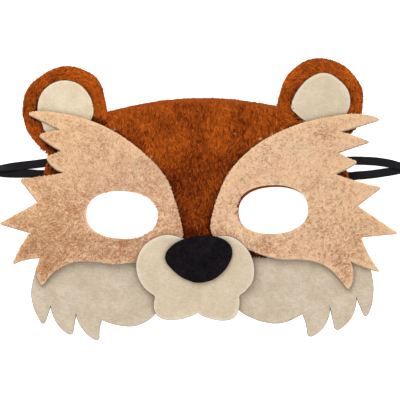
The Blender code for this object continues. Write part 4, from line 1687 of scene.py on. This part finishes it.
@dataclass
class Studio:
    """The floor, the soft light and the camera straight above.

    Attributes:
        view_width: what the picture spans across, in metres.
        centre: where the picture's middle falls on the mask.
        distance: how far above the floor the camera is.
        plane: the height at which the picture is as wide as the view.
        sensor: how broad the camera's sensor is, in millimetres.
        farthest: how far the camera sees.
        key: how bright the main light is, in watts.
        fill: how bright the light from the other side is, in watts.
        sky: how bright the room is.
        glow: how bright the floor is of itself.
        half_floor: how far the floor reaches to each side.
        floor_drop: how far under the mask it lies.
    """

    view_width: float = 0.228
    centre: tuple[float, float] = (0.74 * MM, -0.37 * MM)
    distance: float = 2.0
    plane: float = 6 * MM
    sensor: float = 36.0
    farthest: float = 20.0
    key: float = 4.97
    fill: float = 1.73
    sky: float = 0.82
    glow: float = 0.8
    half_floor: float = 3.0
    floor_drop: float = 0.1 * MM

    def camera(self) -> bpy.types.Object:
        """Puts the camera straight above the mask, through a long lens.

        Returns:
            The camera.
        """
        data = bpy.data.cameras.new("camera")
        data.sensor_width = self.sensor
        data.lens = self.sensor * (self.distance - self.plane) / self.view_width
        data.clip_end = self.farthest
        camera = bpy.data.objects.new("camera", data)
        camera.location = (*self.centre, self.distance)
        bpy.context.scene.collection.objects.link(camera)
        bpy.context.scene.camera = camera
        return camera

    def floor(self) -> bpy.types.Object:
        """Lays the plain pale floor.

        Returns:
            The floor.
        """
        half = self.half_floor
        corners = [(-half, -half, 0), (half, -half, 0), (half, half, 0), (-half, half, 0)]
        mesh = bpy.data.meshes.new("floor")
        mesh.from_pydata(corners, [], [(0, 1, 2, 3)])
        material, _, shader = begun("pale floor")
        shader.inputs["Base Color"].default_value = (0.93, 0.93, 0.93, 1.0)
        shader.inputs["Emission Color"].default_value = (1.0, 1.0, 1.0, 1.0)
        shader.inputs["Emission Strength"].default_value = self.glow
        shader.inputs["Roughness"].default_value = 0.9
        shader.inputs["Specular IOR Level"].default_value = 0.1
        mesh.materials.append(material)
        floor = bpy.data.objects.new("floor", mesh)
        floor.location.z = -self.floor_drop
        bpy.context.scene.collection.objects.link(floor)
        return floor

    def lamp(self, name: str, place: tuple[float, float, float], size: float, power: float) -> None:
        """Hangs one soft square light that faces the mask.

        Args:
            name: its name.
            place: where it hangs.
            size: how broad it is.
            power: how bright it is, in watts.
        """
        data = bpy.data.lights.new(name, "AREA")
        data.size = size
        data.energy = power
        lamp = bpy.data.objects.new(name, data)
        lamp.location = place
        lamp.rotation_euler = (-Vector(place)).to_track_quat("-Z", "Y").to_euler()
        bpy.context.scene.collection.objects.link(lamp)

    def light(self) -> None:
        """Lights the mask softly from above its ears, with a weaker light from below."""
        world = bpy.data.worlds.new("soft room")
        world.use_nodes = True
        background = world.node_tree.nodes["Background"]
        background.inputs["Color"].default_value = (1.0, 1.0, 1.0, 1.0)
        background.inputs["Strength"].default_value = self.sky
        bpy.context.scene.world = world
        bpy.context.scene.view_settings.view_transform = "Standard"
        self.lamp("key light", place=(-0.35, 0.75, 0.9), size=0.5, power=self.key)
        self.lamp("fill light", place=(0.7, -0.5, 0.9), size=0.8, power=self.fill)


@dataclass(frozen=True)
class CheekLook:
    """What differs between the pile of the two cheeks.

    Attributes:
        tone: the middle tone.
        fringe_length: how long the locks at the rim are, as a share of the others.
        grain: how far the tone differs from one small tuft to the next.
        slope: how much lighter it grows for each metre across and up.
        warm_reach: over what distance it turns to the finish's warmer colour.
        smudges: patches that are brushed darker.
    """

    tone: float
    fringe_length: float
    grain: float
    slope: tuple[float, float]
    warm_reach: float
    smudges: tuple[Smudge, ...]


CHEEK_LOOKS = {
    Side.LEFT: CheekLook(
        tone=0.50,
        fringe_length=0.7,
        grain=0.28,
        slope=(0.0, 6.0),
        warm_reach=80 * MM,
        smudges=(
            Smudge(-72.8 * MM, -5.5 * MM, 4.0 * MM, 4.0 * MM, 0.25),
            Smudge(-43.2 * MM, -25.4 * MM, 1.6 * MM, 4.0 * MM, 0.30),
        ),
    ),
    Side.RIGHT: CheekLook(
        tone=0.68,
        fringe_length=0.5,
        grain=0.55,
        slope=(2.0, 4.0),
        warm_reach=120 * MM,
        smudges=(
            Smudge(38.4 * MM, -26.6 * MM, 8.0 * MM, 4.0 * MM, 0.40),
            Smudge(65.7 * MM, 9.3 * MM, 3.0 * MM, 3.0 * MM, 0.25),
            Smudge(72.0 * MM, 37.8 * MM, 8.0 * MM, 4.0 * MM, 0.25),
            Smudge(85.7 * MM, -21.5 * MM, 6.0 * MM, 4.0 * MM, 0.20),
            Smudge(80.5 * MM, -41.4 * MM, 5.0 * MM, 8.0 * MM, 0.25),
        ),
    ),
}


@dataclass
class Mask:
    """The whole mask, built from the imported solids.

    Attributes:
        nodes: the solids by name.
        forms: their forms, read once.
    """

    nodes: dict[str, bpy.types.Object]
    forms: dict[str, PanelForm] = field(default_factory=dict)

    def __post_init__(self) -> None:
        """Reads the form of every flat piece."""
        self.forms = {
            name: PanelForm.of(node) for name, node in self.nodes.items() if name != "elastic_strap"
        }
        for side in Side:
            form = self.forms[f"cheek_{side.word}"]
            form.loops[0] = eased(smooth_loop(form.loops[0], step=1.0 * MM), rounds=20)

    def strap(self) -> None:
        """Makes the elastic."""
        ElasticStrap(self.forms["head_panel"]).build()

    def felt(self) -> None:
        """Makes the jowls, the ears' inners, the muzzle and the nose."""
        forms = self.forms
        for side in Side:
            cheek = forms[f"cheek_{side.word}"]
            above = (cheek, forms["muzzle"], forms["head_panel"])
            jowl = forms[f"jowl_{side.word}"]
            Panel(jowl, JOWL_FELT, ("floor",), seed=20 + side.value, blunt=9, covers=above).build()
            felt = PALE_EAR_FELT if side is Side.LEFT else EAR_FELT
            inner = forms[f"ear_inner_{side.word}"]
            Panel(
                inner, felt, ("head_panel",), seed=30 + side.value, covers=(cheek,), rim_glow=0.8
            ).build()
        Panel(
            forms["muzzle"],
            MUZZLE_FELT,
            ("cheek_left", "cheek_right"),
            seed=40,
            covers=(forms["nose"],),
            rim_glow=1.0,
            crease=(0.3 * MM, -63.5 * MM, -46.0 * MM),
        ).build()
        Panel(forms["nose"], NOSE_FELT, ("muzzle",), seed=50).build()

    def head(self) -> None:
        """Makes the brown head panel and its pile."""
        form = self.forms["head_panel"]
        above = ("cheek", "ear", "muzzle")
        covers = tuple(piece for name, piece in self.forms.items() if name.startswith(above))
        below = ("jowl_left", "jowl_right")
        Panel(form, BROWN_GROUND, below, flare=0.05 * MM, seed=60, covers=covers).build()
        ears = ((-76.8 * MM, 52.1 * MM), (69.6 * MM, 56.9 * MM))
        Pile(
            form,
            BROWN_PILE,
            covers,
            locks=15000,
            strands=9,
            length=3.0 * MM,
            width=0.29 * MM,
            spread=0.65 * MM,
            lift=0.32,
            nap=Nap.ROUND_THE_EARS,
            seed=61,
            clump=5.5 * MM,
            contrast=0.18,
            tone=0.42,
            patches=0.18,
            grain=0.22,
            ears=ears,
            hole_margin=2.5 * MM,
            fringe=3000.0,
            fringe_length=0.29,
            low_tone=0.56,
            shadow=1.0,
        ).build()

    def cheeks(self) -> None:
        """Makes both tan cheeks and their pile."""
        for side in Side:
            form, look = self.forms[f"cheek_{side.word}"], CHEEK_LOOKS[side]
            Panel(
                form,
                TAN_GROUND,
                ("head_panel",),
                seed=70 + side.value,
                flare=0.10 * MM,
                lean=(side.value * 0.25 * MM, -0.60 * MM),
                hole_flare=0.05 * MM,
                covers=(self.forms["muzzle"],),
            ).build()
            Pile(
                form,
                TAN_PILE,
                (self.forms["muzzle"],),
                locks=26000,
                strands=5,
                length=1.5 * MM,
                width=0.30 * MM,
                spread=0.36 * MM,
                lift=0.36,
                nap=Nap.OUTWARD,
                seed=80 + side.value,
                clump=3.0 * MM,
                contrast=0.27,
                tone=look.tone,
                flow=0.7,
                middle=(side.value * 20 * MM, -10 * MM),
                fringe=1300.0,
                fringe_length=look.fringe_length,
                grain=look.grain,
                rim_tone=0.2,
                slope=look.slope,
                smudges=look.smudges,
                warm_reach=look.warm_reach,
            ).build()
        StrayTufts(self.forms, TAN_PILE).build()


def main() -> None:
    """Builds the camera, the elastic, the layers and the light."""
    logging.basicConfig(level=logging.INFO, format="%(name)s: %(message)s")
    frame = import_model()
    studio = Studio()
    studio.camera()
    mask = Mask(frame["nodes"])
    mask.strap()
    mask.felt()
    mask.head()
    mask.cheeks()
    studio.floor()
    studio.light()


if __name__ == "__main__":
    main()
